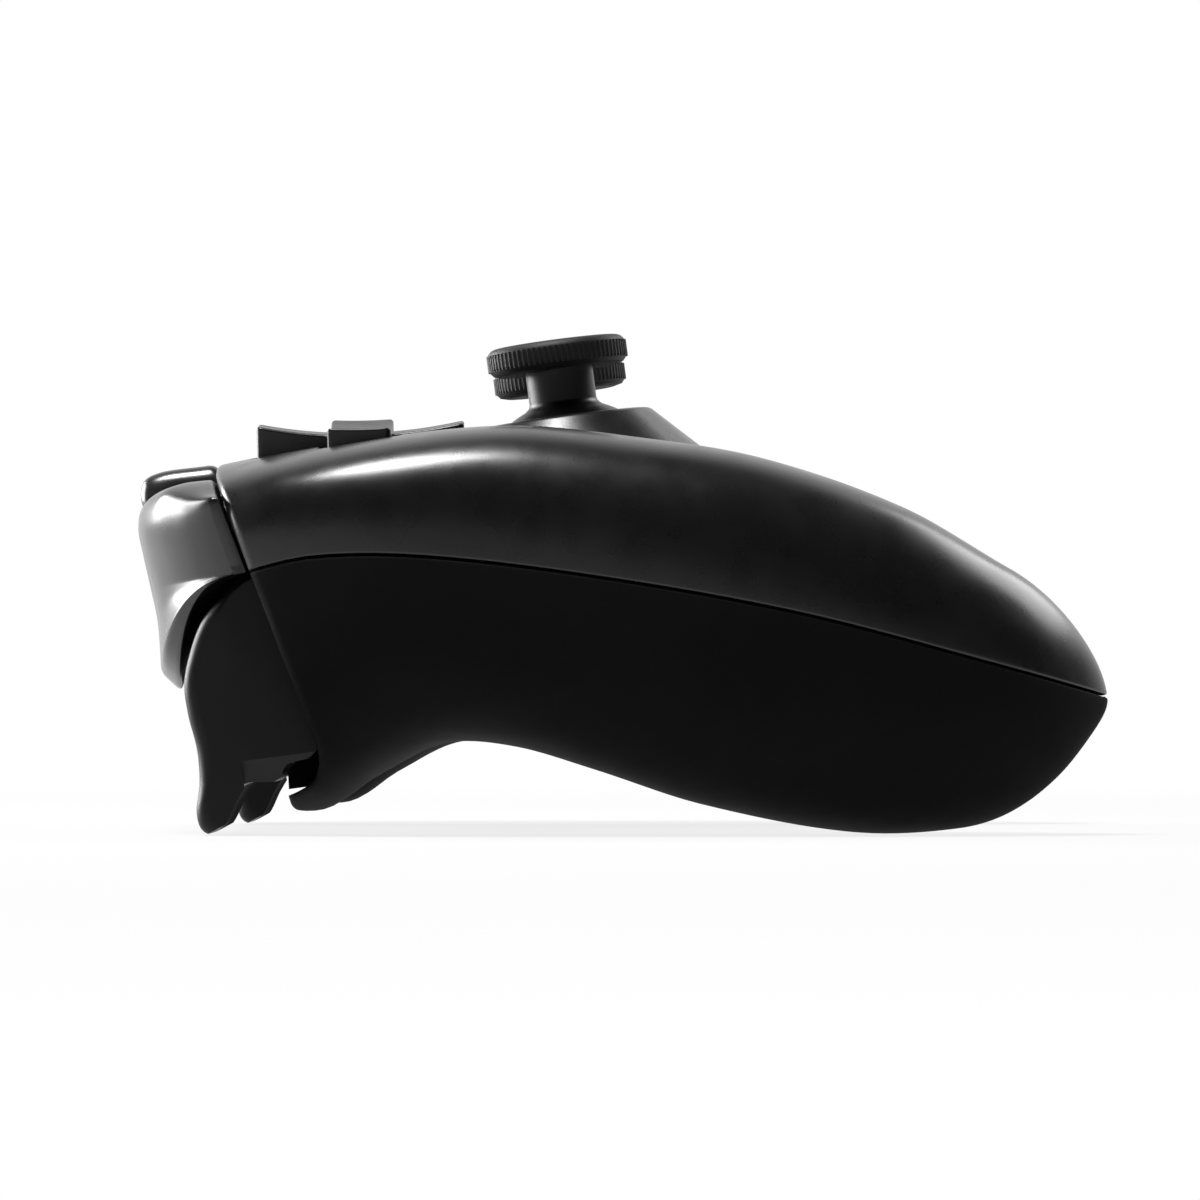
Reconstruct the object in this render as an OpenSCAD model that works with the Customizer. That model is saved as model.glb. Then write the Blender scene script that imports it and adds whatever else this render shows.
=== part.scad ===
// Gamepad controller: moulded two-shell housing with two thumb sticks, a direction pad,
// face buttons, bumpers and pivoting triggers. X is the player's right, Y is forward, Z is up.
// Every piece is drawn with the face level and then leaned into its standing pose.

/* [Housing] */
// Overall width across the palms
body_w = 150; // [147:0.5:153]
// Distance from the middle of the pad back to the tips of the grips
grip_reach = 56.6; // [55.6:0.2:57.6]
// Distance of each grip tip from the centre plane
grip_spread = 53.5; // [52.5:0.5:54.5]
// Distance from the middle of the pad back to the edge between the grips
waist = 19; // [18.5:0.1:19.5]
// Height of the face above the middle plane
face_h = 19.2; // [18.9:0.1:19.6]
// Depth of the grips below the middle plane
grip_depth = 34.9; // [34.4:0.1:35.6]
// Depth of the belly between the grips below the middle plane
belly_depth = 15; // [14.8:0.1:15.4]
// Wall thickness of the two shells
wall = 2.2; // [2:0.1:2.4]
// Rise of the face at the centre plane
bulge = 0.9; // [0.6:0.1:1.2]
// Gap along the parting line and around the front trim
seam_gap = 0.3; // [0.2:0.05:0.4]
// Forward lean of the face when the pad stands on a table
face_tilt = 7.5; // [7:0.1:8]

/* [Sticks] */
// Distance between the two stick centres
stick_gap = 64; // [63:0.5:65]
// Distance of the sticks forward of the middle
stick_y = 1.9; // [1.4:0.1:2.3]
// Height of the stick pivots above the middle plane
pivot_z = 9.5; // [9.3:0.1:9.7]
// Diameter of the stick caps
cap_d = 16.7; // [16:0.2:17.4]
// Height of the knurled edge of a stick cap
cap_h = 3.5; // [3:0.1:4]
// Height of the cap tops above the pivot
cap_top = 19.3; // [19.2:0.1:20.2]
// Diameter of the stick stems
stem_d = 8.1; // [7.6:0.1:8.6]
// Radius of the rounded skirt below a stem
skirt_r = 12.2; // [12:0.1:12.3]
// Diameter of the round openings that the sticks move in
well_d = 17.4; // [17.2:0.1:17.8]
// Running gap between a skirt and its well
skirt_gap = 0.35; // [0.3:0.05:0.4]

/* [Pad and buttons] */
// Distance between the direction pad and the middle of the face buttons
cluster_gap = 92; // [91:0.5:93]
// Distance of the direction pad forward of the middle
pad_y = 27; // [26.6:0.1:27.3]
// Distance of the face button cluster forward of the middle
button_y = 25; // [24.6:0.1:25.2]
// Span of the direction pad across two arms
pad_span = 24.4; // [23.8:0.2:25]
// Width of one arm of the direction pad
pad_arm = 7.4; // [7:0.1:8]
// Height of the middle of the direction pad above the middle plane
pad_top = 20.3; // [19.6:0.1:20.6]
// Lean of the direction pad towards the player
pad_lean = 6.4; // [5:0.2:7]
// Lean of the direction pad towards the outside
pad_roll = 4.5; // [3:0.5:5]
// Diameter of the four face buttons
button_d = 10.4; // [10:0.1:10.8]
// Distance of each face button from the middle of its cluster
button_ring = 11.6; // [11.4:0.1:11.7]
// Height of the face button tops above the middle plane
button_top = 20.9; // [20.6:0.1:21.4]
// Diameter of the home button
home_d = 11; // [10:0.2:12]
// Length of the two oval buttons
oval_l = 8; // [7:0.2:9]
// Side gap between a button and its opening
button_gap = 0.3; // [0.25:0.05:0.35]

/* [Bumpers and triggers] */
// Distance of the inner end of each bumper from the centre plane
bumper_in = 28; // [27.8:0.1:28.6]
// Height of the bumper tops above the middle plane
bumper_h = 16.9; // [16.6:0.1:17.2]
// Inner side of each trigger from the centre plane
trigger_in = 42; // [41.8:0.1:42.4]
// Width of one trigger
trigger_w = 21.6; // [21.2:0.1:21.9]
// Depth of the trigger tips below the middle plane
trigger_drop = 24.1; // [23.8:0.1:24.4]
// Diameter of the trigger pins
pin_d = 3; // [2.8:0.1:3.2]
// Running gap between a pin and its bore, on the radius
pin_gap = 0.08; // [0.06:0.01:0.1]

/* [Inside] */
// Thickness of the main board
board_t = 1.6; // [1.4:0.1:1.8]
// Length of the battery across the pad
battery_l = 44; // [40:1:45]
// Thickness of the battery
battery_t = 7.4; // [6:0.2:8]
// Diameter of the two vibration motors
motor_d = 14; // [12:0.5:15]
// Radius of the turning weights
weight_r = 9; // [8:0.25:9.5]

/* [Hidden] */
$fn = 48;

half_w = body_w / 2;
stick_x = stick_gap / 2;
cluster_x = cluster_gap / 2;
trigger_out = trigger_in + trigger_w;

// Plan outline of the right half, from the waist round the grip tip to the front
rail = [
    [0, -waist], [13, -waist - 0.6], [24, -waist - 3.5], [32, -waist - 11], [36.5, -waist - 20],
    [41, -grip_reach + 9.3], [46.5, -grip_reach + 2.8], [grip_spread, -grip_reach],
    [grip_spread + 12.5, -grip_reach + 10.8], [half_w - 2, -26], [half_w, 4], [71, 36], [52, 56],
    [26, 60], [0, 60]];
last = len(rail) - 1;
tip = last / 2;
// Side outlines as [forward, up]: ridge of the face, parting line and underside of the grips
top_line = [
    [-58, face_h - 32.4], [-47.6, face_h - 25], [-35.9, face_h - 16.1], [-20.4, face_h - 8.3],
    [-6.8, face_h - 4.1], [8, face_h - 0.7], [24, face_h], [60, face_h - 0.6]];
seam_line = [[-58, -22.3], [-44, -16.6], [-22, -7.8], [0, -0.8], [20, 4.3], [33, 6], [42, 5.2], [60, 3]];
grip_line = [
    [-58, 5.6 - grip_depth], [-50, 1.3 - grip_depth], [-38, -grip_depth], [-25, 1.2 - grip_depth],
    [-8, 6.7 - grip_depth], [4, -22.5], [13, -18.6], [21, -17.3], [29.5, -20.5], [36, -24.2], [45, -24.2]];
top_round = 9;
base_round = 19;

// Front edge of both shells, as a line leaning forward with height
cut_y = 39.1;
cut_lean = 0.245;
function cut_at(z) = cut_y + cut_lean * z;

// Forward position of the lowest point of the triggers
trigger_tip = 49.2;
// Levels of the two boards
board_z = 1.4;
board_top = board_z + board_t;
upper_z = 8.8;
upper_top = 10;
frame_z = upper_z - 2.2;
frame_t = 2;
dome_top = 12.5;
key_z = dome_top + 0.2;
flange_z = 13.5;
pin_y = 36.5;
pin_z = 1.5;
pin_r = pin_d / 2;
usb_z = board_top + 1.65;
cell_z = wall + 0.85 - belly_depth;
fit = 0.25;
rod_fit = 0.07;

// Shell screws as [x, y, boss foot, head seat, split, roof]
screws = [
    [27, 31, -belly_depth, -8, 4, face_h - 1.6], [26, -13, -belly_depth + 0.4, -10, -4, face_h - 8.9],
    [grip_spread, -45, 3 - grip_depth, 9 - grip_depth, -14, face_h - 26.4]];
// Board posts as [x, y, foot]
posts = [[34, 22, -belly_depth - 0.2], [16, -7, 2 - belly_depth]];
motor_z = 18 - grip_depth;
motor_x = (grip_spread + half_w) / 2 - 9.75;

// Side outline of the front trim
trim_h = face_h + bulge - 0.3;
bridge_line = [[44, trim_h], [51.5, trim_h - 0.1], [53.3, trim_h - 0.8], [54, trim_h - 2.6],
    [53.7, 14.5], [52.8, 4], [52.2, -2.5], [50.5, -6.5], [46, -10.5], [41.5, -belly_depth], [30, -belly_depth]];

function rest_z(y, z) = z * cos(face_tilt) - y * sin(face_tilt);
function rest_y(y, z) = y * cos(face_tilt) + z * sin(face_tilt);
// Curves and counts of the shell surfaces
outer_rail = inset_rail(0);
inner_rail = inset_rail(wall);
stations = 20;
steps = 20;
// Height and forward shift that set the lowest points on the table and centre the pad
stand_z = -min(rest_z(trigger_tip, -trigger_drop), min([for (i = [0:stations], p = band(i, -1)) rest_z(p.y, p.z)]));
stand_y = -(rest_y(bridge_line[3].x, bridge_line[3].y) + rest_y(-grip_reach, profile(seam_line, -grip_reach))) / 2;
module stand() translate([0, stand_y, stand_z]) rotate([-face_tilt, 0, 0]) children();
module on_side(s) mirror([s < 0 ? 1 : 0, 0, 0]) children();
module both() for (s = [-1, 1]) on_side(s) children();
// A side outline [forward, up] drawn out across the pad from x0 to x1
module across(x0, x1) translate([x0, 0, 0]) rotate([90, 0, 90]) linear_extrude(x1 - x0) children();
module rod_x(r, x0, x1) translate([x0, 0, 0]) rotate([0, 90, 0]) cylinder(r = r, h = x1 - x0);
module rod_y(r, y0, y1) translate([0, y1, 0]) rotate([90, 0, 0]) cylinder(r = r, h = y1 - y0);
module block(x0, x1, y0, y1, z0, z1) translate([x0, y0, z0]) cube([x1 - x0, y1 - y0, z1 - z0]);
module disc(r, z0, z1) translate([0, 0, z0]) cylinder(r = r, h = z1 - z0);

// Smooth curve through a chain of plane points, and a smooth height over forward position
function spline(p, u) =
    let (i = min(floor(u), len(p) - 4), t = u - i, a = p[i], b = p[i + 1], c = p[i + 2], d = p[i + 3])
    b + 0.5 * t * ((c - a) + t * ((2 * a - 5 * b + 4 * c - d) + t * (3 * (b - c) + d - a)));
function slope(p, i) =
    let (a = max(i - 1, 0), b = min(i + 1, len(p) - 1)) (p[b].y - p[a].y) / (p[b].x - p[a].x);
function knot(p, x, i = 0) = (i >= len(p) - 2 || x <= p[i + 1].x) ? i : knot(p, x, i + 1);
function profile(p, x) =
    let (i = knot(p, x), h = p[i + 1].x - p[i].x, t = min(max((x - p[i].x) / h, 0), 1),
         a = p[i].y, b = p[i + 1].y, ma = h * slope(p, i), mb = h * slope(p, i + 1))
    a + t * (ma + t * (3 * (b - a) - 2 * ma - mb + t * (ma + mb - 2 * (b - a))));
function turn(v) = [-v.y, v.x] / norm(v);
function flip(p) = [-p.x, p.y];
function smooth(a, b, x) = let (t = min(max((x - a) / (b - a), 0), 1)) t * t * (3 - 2 * t);
function crown(w, m) = pow(max(1 - pow(abs(w), m), 0), 1 / m);

// The outline moved inwards by d, with one point past each end for the curve
function inset_rail(d) =
    let (r = [for (i = [0:last])
        let (a = i == 0 ? flip(rail[1]) : rail[i - 1], b = i == last ? flip(rail[last - 1]) : rail[i + 1])
        rail[i] + d * turn(b - a)])
    concat([flip(r[1])], r, [flip(r[last - 1])]);
// Top of the housing at a plan point: the face rises a little towards the centre plane
function roof_z(p) = profile(top_line, p.y) + bulge * smooth(-5, 15, p.y) * max(1 - pow(p.x / 60, 2), 0);
// Bottom of the housing at a plan point: flat belly in the middle, deep grips at the sides
function base_z(p) =
    let (f = smooth(-10, 20, p.y), g = smooth(18 + 12 * f, 40 + 10 * f, p.x))
    (1 - g) * -belly_depth + g * profile(grip_line, p.y);
// Point of a shell: k along the outline, w across from inner to outer edge, d below the surface
function shell_point(chain, k, w, side, d) =
    let (i = spline(chain, k), o = spline(chain, last - k), p = (i + o) / 2 + w * (o - i) / 2,
         far = min(max(((i.y + o.y) / 2 + grip_reach - d) / (side > 0 ? top_round : base_round), 0), 1),
         close = sqrt(1 - pow(1 - far, 2)), thin = smooth(2, 6, k),
         z0 = profile(seam_line, p.y) + side * seam_gap / 2,
         z1 = side > 0 ? roof_z(p) - d : base_z(p) + d,
         m = side > 0 ? 4.5 - 2.5 * thin : 3.5 - 1.7 * thin)
    [p.x, p.y, z0 + (z1 - z0) * crown(w, m) * close];
function band(i, side) =
    let (k = tip * sin(90 * abs(i) / stations), s = i < 0 ? -1 : 1)
    [for (j = [0:2 * steps + 1])
        let (out = j <= steps, w = -cos(180 * (out ? j : 2 * steps + 1 - j) / steps),
             p = shell_point(out ? outer_rail : inner_rail, k, w, side, out ? 0 : wall))
        [s * p.x, p.y, p.z]];
function back_to_front(r) = [for (i = [len(r) - 1:-1:0]) r[i]];

// A solid through rows of points; rows of the same length, ends closed with flat faces
module loft(rows, ends = true) {
    n = len(rows[0]);
    m = len(rows) - 1;
    pts = [for (r = rows) each r];
    sides = [for (i = [0:m - 1], j = [0:n - 1])
        let (a = i * n + j, b = i * n + (j + 1) % n) each [[a, b, b + n], [a, b + n, a + n]]];
    kept = [for (t = sides)
        if (min(norm(pts[t[0]] - pts[t[1]]), norm(pts[t[1]] - pts[t[2]]), norm(pts[t[2]] - pts[t[0]])) > 0.0001) t];
    lids = ends ? [[for (j = [n - 1:-1:0]) j], [for (j = [0:n - 1]) m * n + j]] : [];
    polyhedron(pts, concat(kept, lids));
}
module shell(side) {
    rows = [for (i = [-stations:stations]) side > 0 ? band(i, side) : back_to_front(band(i, side))];
    loft(rows, false);
}

// Plus shape of the direction pad in its leaned frame
module at_pad() translate([-cluster_x, pad_y, dome_top - 0.2]) children();
module pad_plus(gap) {
    l = pad_span + 2 * gap;
    a = pad_arm + 2 * gap;
    square([l, a], center = true);
    square([a, l], center = true);
}
module at_button(a)
    translate([cluster_x + button_ring * cos(a), button_y + button_ring * sin(a), 0]) children();
module at_home() translate([0, 24, 0]) children();
module at_oval(s) translate([15 * s, 27, 0]) children();
module oval(gap, z0, z1) {
    r = 2 + gap;
    b = oval_l / 2 - 2;
    for (s = [-1, 1]) translate([b * s, 0, 0]) disc(r, z0, z1);
    block(-b, b, -r, r, z0, z1);
}
module at_stick() translate([stick_x, stick_y, pivot_z]) children();
light_r = 1.2;
module at_lights() for (x = [-8.25, -2.75, 2.75, 8.25]) translate([x, 11, 0]) children();

// Ring around a stick that carries the face up to the well, with a rounded socket below
module collar() {
    low = 13.9 - pivot_z;
    high = 19.6 - pivot_z;
    translate([0, 0, low]) cylinder(r1 = well_d / 2 + 1.5 + high - low, r2 = well_d / 2 + 1.5, h = high - low);
}
module socket() {
    sphere(r = skirt_r + skirt_gap, $fn = 64);
    disc(well_d / 2, 0, 20);
}
module front_shell() color("#1b1c1f") stand() difference() {
    union() {
        shell(1);
        both() at_stick() collar();
        both() for (s = screws) translate([s.x, s.y, 0]) disc(2.6, s[4] + 0.2, s[5]);
        both() translate([24, 15, 0]) disc(1.6, upper_top + 0.1, face_h - 1.2);
    }
    across(-100, 100) polygon([[cut_at(-60), -60], [cut_at(40), 40], [100, 40], [100, -60]]);
    both() at_stick() socket();
    both() for (s = screws) translate([s.x, s.y, 0]) disc(1.25, s[4] - 1, s[5] - 2.2);
    at_pad() rotate([pad_lean, -pad_roll, 0]) linear_extrude(20) pad_plus(0.8);
    for (a = [0:90:270]) at_button(a) {
        disc(button_d / 2 + button_gap, 0, 40);
        disc(button_d / 2 + 1.1, 0, flange_z + 0.4);
    }
    at_home() disc(home_d / 2 + button_gap, 0, 40);
    for (s = [-1, 1]) at_oval(s) oval(button_gap, 0, 40);
    at_lights() disc(light_r + 0.1, 0, 40);
}

lip_y = 39.8;
// Inner side wall of each trigger pocket
module pocket_wall() across(trigger_in - 2.2, trigger_in - 0.6) polygon([
    [28, -16], [28, -9], [38.2, -9], [39.6, -13], [40.2, -20.2], [36, -20.2], [34.4, -17.8]]);
// Relief in the floor of each pocket for the swing of the trigger
module pocket_floor() across(trigger_in - 0.4, trigger_out + 0.4) polygon([
    [31.8, -9], [31.8, -15.9], [32.6, -16.6], [36.2, -18.2], [38, -9]]);
module back_shell() color("#141517") stand() {
    both() pocket_wall();
    lower_shell();
}
module lower_shell() difference() {
    union() {
        shell(-1);
        both() for (s = screws) translate([s.x, s.y, 0]) disc(3.4, s[2], s[4]);
        both() for (p = posts) translate([p.x, p.y, 0]) disc(2.2, p.z, board_z - 0.05);
        both() block(motor_x - 4, motor_x - 1, -14, -12, 6.6 - grip_depth, motor_z - motor_d / 2 - 0.2);
        both() block(motor_x - 3.5, motor_x - 0.5, -21, -19, 4.6 - grip_depth, motor_z - motor_d / 2 - 0.2);
    }
    across(-100, 100) polygon([
        [cut_at(40), 40], [cut_at(-14.5), -14.5], [35.3, -17], [36.2, -19.6], [38, -20.5],
        [lip_y, -20.6], [lip_y, -60], [100, -60], [100, 40]]);
    both() pocket_floor();
    both() for (s = screws) translate([s.x, s.y, 0]) {
        disc(2.6, -60, s[3]);
        disc(1.6, -60, s[4] + 1);
    }
    both() for (p = posts) translate([p.x, p.y, 0]) disc(1, board_z - 5, board_z + 1);
}

// Front trim between the bumpers, a deeper cap in the middle and a lower one beside the triggers
bridge_in = bumper_in - 1;
bridge_wide = trigger_in - 2.8;
skirt_line = [[40.5, 3.2], [42.4, 3], [45.4, 0.4], [47.2, -3.4], [46.8, -7], [44.4, -11.5], [41.5, -belly_depth],
    [30, -belly_depth]];
module bridge_gap() {
    polygon([[0, -60], [cut_at(-60) + seam_gap, -60], [cut_at(40) + seam_gap, 40], [0, 40]]);
}
module hollow_line(line) intersection() {
    translate([-wall, 0]) polygon(concat(line, [[20, line[0].y]]));
    translate([0, -wall]) polygon(concat(line, [[20, line[0].y]]));
    translate([-wall, wall]) polygon(concat(line, [[20, line[0].y]]));
}
module front_bridge() color("#5b5d61") stand() difference() {
    union() {
        across(-bridge_in, bridge_in) difference() {
            polygon(concat(bridge_line, [[30, trim_h]]));
            bridge_gap();
        }
        across(-bridge_wide, bridge_wide) difference() {
            polygon(concat(skirt_line, [[30, skirt_line[0].y]]));
            bridge_gap();
        }
    }
    across(wall - bridge_in, bridge_in - wall) hollow_line(bridge_line);
    across(wall - bridge_wide, bridge_wide - wall) hollow_line(skirt_line);
    translate([0, 0, usb_z]) block(-4.8, 4.8, 48, 60, -1.9, 1.9);
    translate([0, 0, usb_z]) block(-17.75, -12.25, 48, 60, -1.35, 1.35);
    translate([15.5, 0, usb_z]) rod_y(1.75, 48, 60);
    both() translate([0, hinge_y, hinge_z]) rod_x(hinge_r + rod_fit, bridge_in - wall - 1, bridge_in + 1);
}

// Bumper hinge line and section
hinge_y = 44.6;
hinge_z = 11.4;
hinge_r = 1.2;
bumper_front = [[28, 53.9], [40, 53.4], [50, 52.2], [57, 49.9], [62, 47], [65, 44.3], [66.3, 42.6]];
bumper_line = [
    [43.6, bumper_h], [48.6, bumper_h], [51.6, bumper_h - 0.6], [53.2, bumper_h - 1.9], [53.8, bumper_h - 4],
    [53.6, 9.6], [53.2, 5.5], [52.9, 1.8], [53, -1.5], [53.2, -4.4], [51.2, -6.9], [49.9, -3.6], [47.1, 0.95],
    [43.6, 4.6], [40.7, 5.4]];
shoulder = 5.4;
function bumper_row(x) =
    let (f = profile(bumper_front, x) - 53.2, r = (f + 12.2) / 12.2, q = min(pow(r, 2.5), 1),
         h = bumper_h - 2.4 * smooth(56, 67, x))
    [for (p = bumper_line)
        let (z = p.y > shoulder ? shoulder + (p.y - shoulder) * (h - shoulder) / (bumper_h - shoulder)
                 : shoulder + (p.y - shoulder) * q,
             y0 = cut_at(z) + seam_gap + 0.1)
        [x, y0 + max(p.x - cut_at(p.y) - seam_gap - 0.1, 0) * r, z]];
bumper_x = [bumper_in, 34, 40, 45, 50, 54, 57, 59.5, 61.5, 63.2, 64.6, 65.6, 66.3];
module bumper() difference() {
    union() {
        difference() {
            loft([for (x = bumper_x) bumper_row(x)]);
            across(bumper_in + wall, 52) polygon([
                [30, 6.3], [48.6, 6.3], [49.6, 8.5], [49.8, 11.5], [49, 14], [48, bumper_h - wall], [30, bumper_h - wall]]);
            across(51, 57.5) polygon([[30, 6.3], [46.6, 6.3], [47, 8], [47, 13], [46, 14], [30, 14]]);
        }
        translate([0, hinge_y, hinge_z]) rod_x(hinge_r, bridge_in - wall, bumper_in + wall / 2);
        translate([0, hinge_y, hinge_z]) rod_x(hinge_r, 53.8, 58);
        block(34, 38, 43.4, 50.2, 10.6, 12.6);
    }
}
module left_bumper() color("#2a2b2e") stand() on_side(-1) bumper();
module right_bumper() color("#2a2b2e") stand() on_side(1) bumper();

// Trigger outline, from the pin over the pad of the finger down to the hooked tip
trigger_line = [
    [33.6, 0.5], [34.4, 3.6], [36.8, 4.9], [42, 4.2], [46.6, 0.9], [49.1, -3.8], [49.9, -6.6], [49.9, -10],
    [49.4, -14.2], [49.6, -18], [50.4, 2.6 - trigger_drop], [50.1, 0.7 - trigger_drop], [trigger_tip, -trigger_drop],
    [47, 3 - trigger_drop], [45.3, 4.9 - trigger_drop], [44, -18.8], [40.6, -18.9],
    [39.2, -17.2], [36.2, -16.5], [34.6, -8]];
// Slanted lower edge of the outer side
module lower_edge() translate([0, 44.4, 0]) rotate([90, 0, 0]) linear_extrude(12) polygon([
    [trigger_out - 3.2, -19.3], [trigger_out + 1, -19.3], [trigger_out + 1, -15.2], [trigger_out, -16.2]]);
function trigger_row(x, d) = [for (p = trigger_line)
    let (a = [43, -9], v = p - a) [x, p.x - d * (v.x > 0 ? 1 : 0.2), p.y + (v.y < -10 ? d * 0.4 : 0)]];
module trigger() difference() {
    loft([trigger_row(trigger_in, 1.3), trigger_row(trigger_in + 0.5, 0.6), trigger_row(trigger_in + 1.6, 0),
        trigger_row(trigger_out - 1.6, 0), trigger_row(trigger_out - 0.5, 0.6), trigger_row(trigger_out, 1.3)]);
    across(trigger_in + wall, trigger_out - wall) polygon([
        [20, 2.6], [41, 2.2], [44.6, -0.4], [46.6, -4.4], [47, -7], [46.6, -12], [46.4, -14.6], [20, -14.8]]);
    across(trigger_in + wall, trigger_out - wall) polygon([[20, 0], [20, 30], [40, 30], [40, 0]]);
    translate([0, pin_y, pin_z]) rod_x(pin_r + pin_gap, 30, 80);
    lower_edge();
}
module left_trigger() color("#202124") stand() on_side(-1) trigger();
module right_trigger() color("#202124") stand() on_side(1) trigger();
module trigger_magnet() translate([trigger_in + wall + 0.05, 40, -10]) rod_x(1.6, 0, 2);
module left_trigger_magnet() color("#9a9ca0") stand() on_side(-1) trigger_magnet();
module right_trigger_magnet() color("#9a9ca0") stand() on_side(1) trigger_magnet();

// Cross frame that carries the trigger pins, the outer bumper hinges and the upper board
ear_in = trigger_in - 2.4;
ear_out = trigger_out + 0.4;
ear_t = 1.8;
module frame_ear(x) across(x, x + ear_t) difference() {
    union() {
        translate([pin_y, pin_z]) circle(r = 3);
        polygon([[pin_y - 3, pin_z], [pin_y + 3, pin_z], [pin_y + 3, frame_z + 0.5], [pin_y - 3, frame_z + 0.5]]);
    }
    translate([pin_y, pin_z]) circle(r = pin_r + 0.03);
}
module inner_frame() color("#3a3c40") stand() {
    w = ear_out + ear_t;
    difference() {
        translate([0, 0, frame_z]) linear_extrude(frame_t) polygon([
            [-w, 33], [-31, 33], [-31, 27.5], [-23, 27.5], [-23, 33], [23, 33], [23, 27.5], [31, 27.5], [31, 33],
            [w, 33], [w, 39.4], [57, 39.4], [57, 43.2], [-57, 43.2], [-57, 39.4], [-w, 39.4]]);
        both() translate([screws[0].x, screws[0].y, 0]) disc(2.9, 0, 20);
        block(-bumper_in - 2.6, bumper_in + 2.6, 40.7, 50, 0, 20);
    }
    both() frame_ear(ear_in);
    both() frame_ear(ear_out);
    both() difference() {
        across(54, 56) polygon([[39, frame_z + 1], [43.2, frame_z + 1], [46.4, hinge_z - 2], [46.4, 13.2], [42.6, 13.2]]);
        translate([0, hinge_y, hinge_z]) rod_x(hinge_r + rod_fit, 50, 70);
    }
}
module trigger_pins() color("#b9bbbf") stand() both()
    translate([0, pin_y, pin_z]) rod_x(pin_r, ear_in, ear_out + ear_t);

// Torsion spring wound on the trigger pin, with a leg to the frame and a leg to the trigger
wire = 0.35;
coil_r = pin_r + 0.9;
turns = 3.5;
function coil_at(a) = [a / 360 * 0.95, coil_r * cos(a), coil_r * sin(a)];
module trigger_spring() {
    path = concat([[0, coil_r, 4.8]], [for (a = [0:30:360 * turns]) coil_at(a)], [[turns * 0.95, -coil_r, -9]]);
    n = len(path) - 1;
    rows = [for (i = [0:n])
        let (d = path[min(i + 1, n)] - path[max(i - 1, 0)], t = d / norm(d),
             u = cross(t, [1, 0, 0]) / norm(cross(t, [1, 0, 0])), v = cross(t, u))
        [for (b = [0:60:300]) path[i] + wire * (u * cos(b) + v * sin(b))]];
    translate([(trigger_in + trigger_out) / 2, pin_y, pin_z]) loft(rows);
}
module left_trigger_spring() color("#c4c6ca") stand() on_side(-1) trigger_spring();
module right_trigger_spring() color("#c4c6ca") stand() on_side(1) trigger_spring();

// Boards, battery and the parts soldered to them
module main_board() color("#1f5c3a") stand() difference() {
    translate([0, 0, board_z]) linear_extrude(board_t) polygon([
        [-50, -4], [-44, -10], [44, -10], [50, -4], [50, 27], [18.5, 27], [18.5, 47], [-18.5, 47], [-18.5, 27], [-50, 27]]);
    both() for (p = posts) translate([p.x, p.y, 0]) disc(1.1, 0, 20);
}
module button_board() color("#1f5c3a") stand() difference() {
    translate([0, 0, upper_z]) linear_extrude(upper_top - upper_z) polygon([
        [-61, 12], [-12, 12], [-12, 7], [12, 7], [12, 12], [61, 12], [61, 36], [52, 40], [-52, 40], [-61, 36]]);
    both() at_stick() disc(skirt_r + 0.7, -20, 20);
    both() translate([screws[0].x, screws[0].y, 0]) disc(2.9, 0, 20);
}
module battery() color("#9fa3a8") stand()
    block(-battery_l / 2, battery_l / 2, -1, 27, cell_z, cell_z + battery_t);
module usb_port() color("#b5b7ba") stand() translate([0, 0, board_top + 0.05]) difference() {
    block(-4.5, 4.5, 41.5, 51, 0, 3.2);
    block(-4.1, 4.1, 43, 60, 0.35, 2.85);
}
module edge_switches() color("#3d3f43") stand() translate([0, 0, board_top + 0.05]) {
    block(-18.3, -11.7, 42, 48.2, 0, 3.2);
    block(13, 18, 43.5, 48.2, 0, 3.2);
}
module bumper_switches() color("#4a4c50") stand() both()
    block(33.5, 38.5, 38.8, 42.6, upper_top + 0.05, upper_top + 3.2);
module board_screws() color("#8e9094") stand() both() for (p = posts) translate([p.x, p.y, 0]) {
    disc(1.9, board_top + 0.05, board_top + 1.2);
    disc(0.9, board_z - 4, board_top + 0.1);
}
module shell_screws() color("#6d6f73") stand() both() for (s = screws) translate([s.x, s.y, 0]) difference() {
    union() {
        disc(2.4, s[3] - 2, s[3] - 0.05);
        disc(1.15, s[3] - 0.1, s[4] + 3.4);
    }
    for (a = [0, 90]) rotate(a) block(-1.5, 1.5, -0.35, 0.35, s[3] - 3, s[3] - 1);
}
module player_lights() color("#dfe3e6") stand() at_lights() disc(light_r, upper_top + 0.1, roof_z([5.5, 11]) + 0.1);

// Rubber sheets with one dome under each key
module dome() {
    translate([0, 0, upper_top + 0.5]) cylinder(r1 = 3.6, r2 = 2.4, h = dome_top - upper_top - 0.5);
}
module sheet(x0, x1, y0, y1) block(x0, x1, y0, y1, upper_top + 0.05, upper_top + 0.8);
module cross_sheet(l) {
    sheet(-l, l, -4.4, 4.4);
    sheet(-4.4, 4.4, -l, l);
}
pad_ring = 7.6;
module dpad_membrane() color("#8a8c90") stand() translate([-cluster_x, pad_y, 0]) difference() {
    union() {
        cross_sheet(pad_ring + 4);
        for (a = [0:90:270]) rotate(a) translate([pad_ring, 0, 0]) dome();
    }
    disc(ball_r + 0.5, 0, 40);
}
module button_membrane() color("#8a8c90") stand() {
    translate([cluster_x, button_y, 0]) cross_sheet(button_ring + 4);
    for (a = [0:90:270]) at_button(a) dome();
}
module center_membrane() color("#8a8c90") stand() {
    sheet(-19, 19, 18, 31);
    at_home() dome();
    for (s = [-1, 1]) at_oval(s) dome();
}

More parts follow.
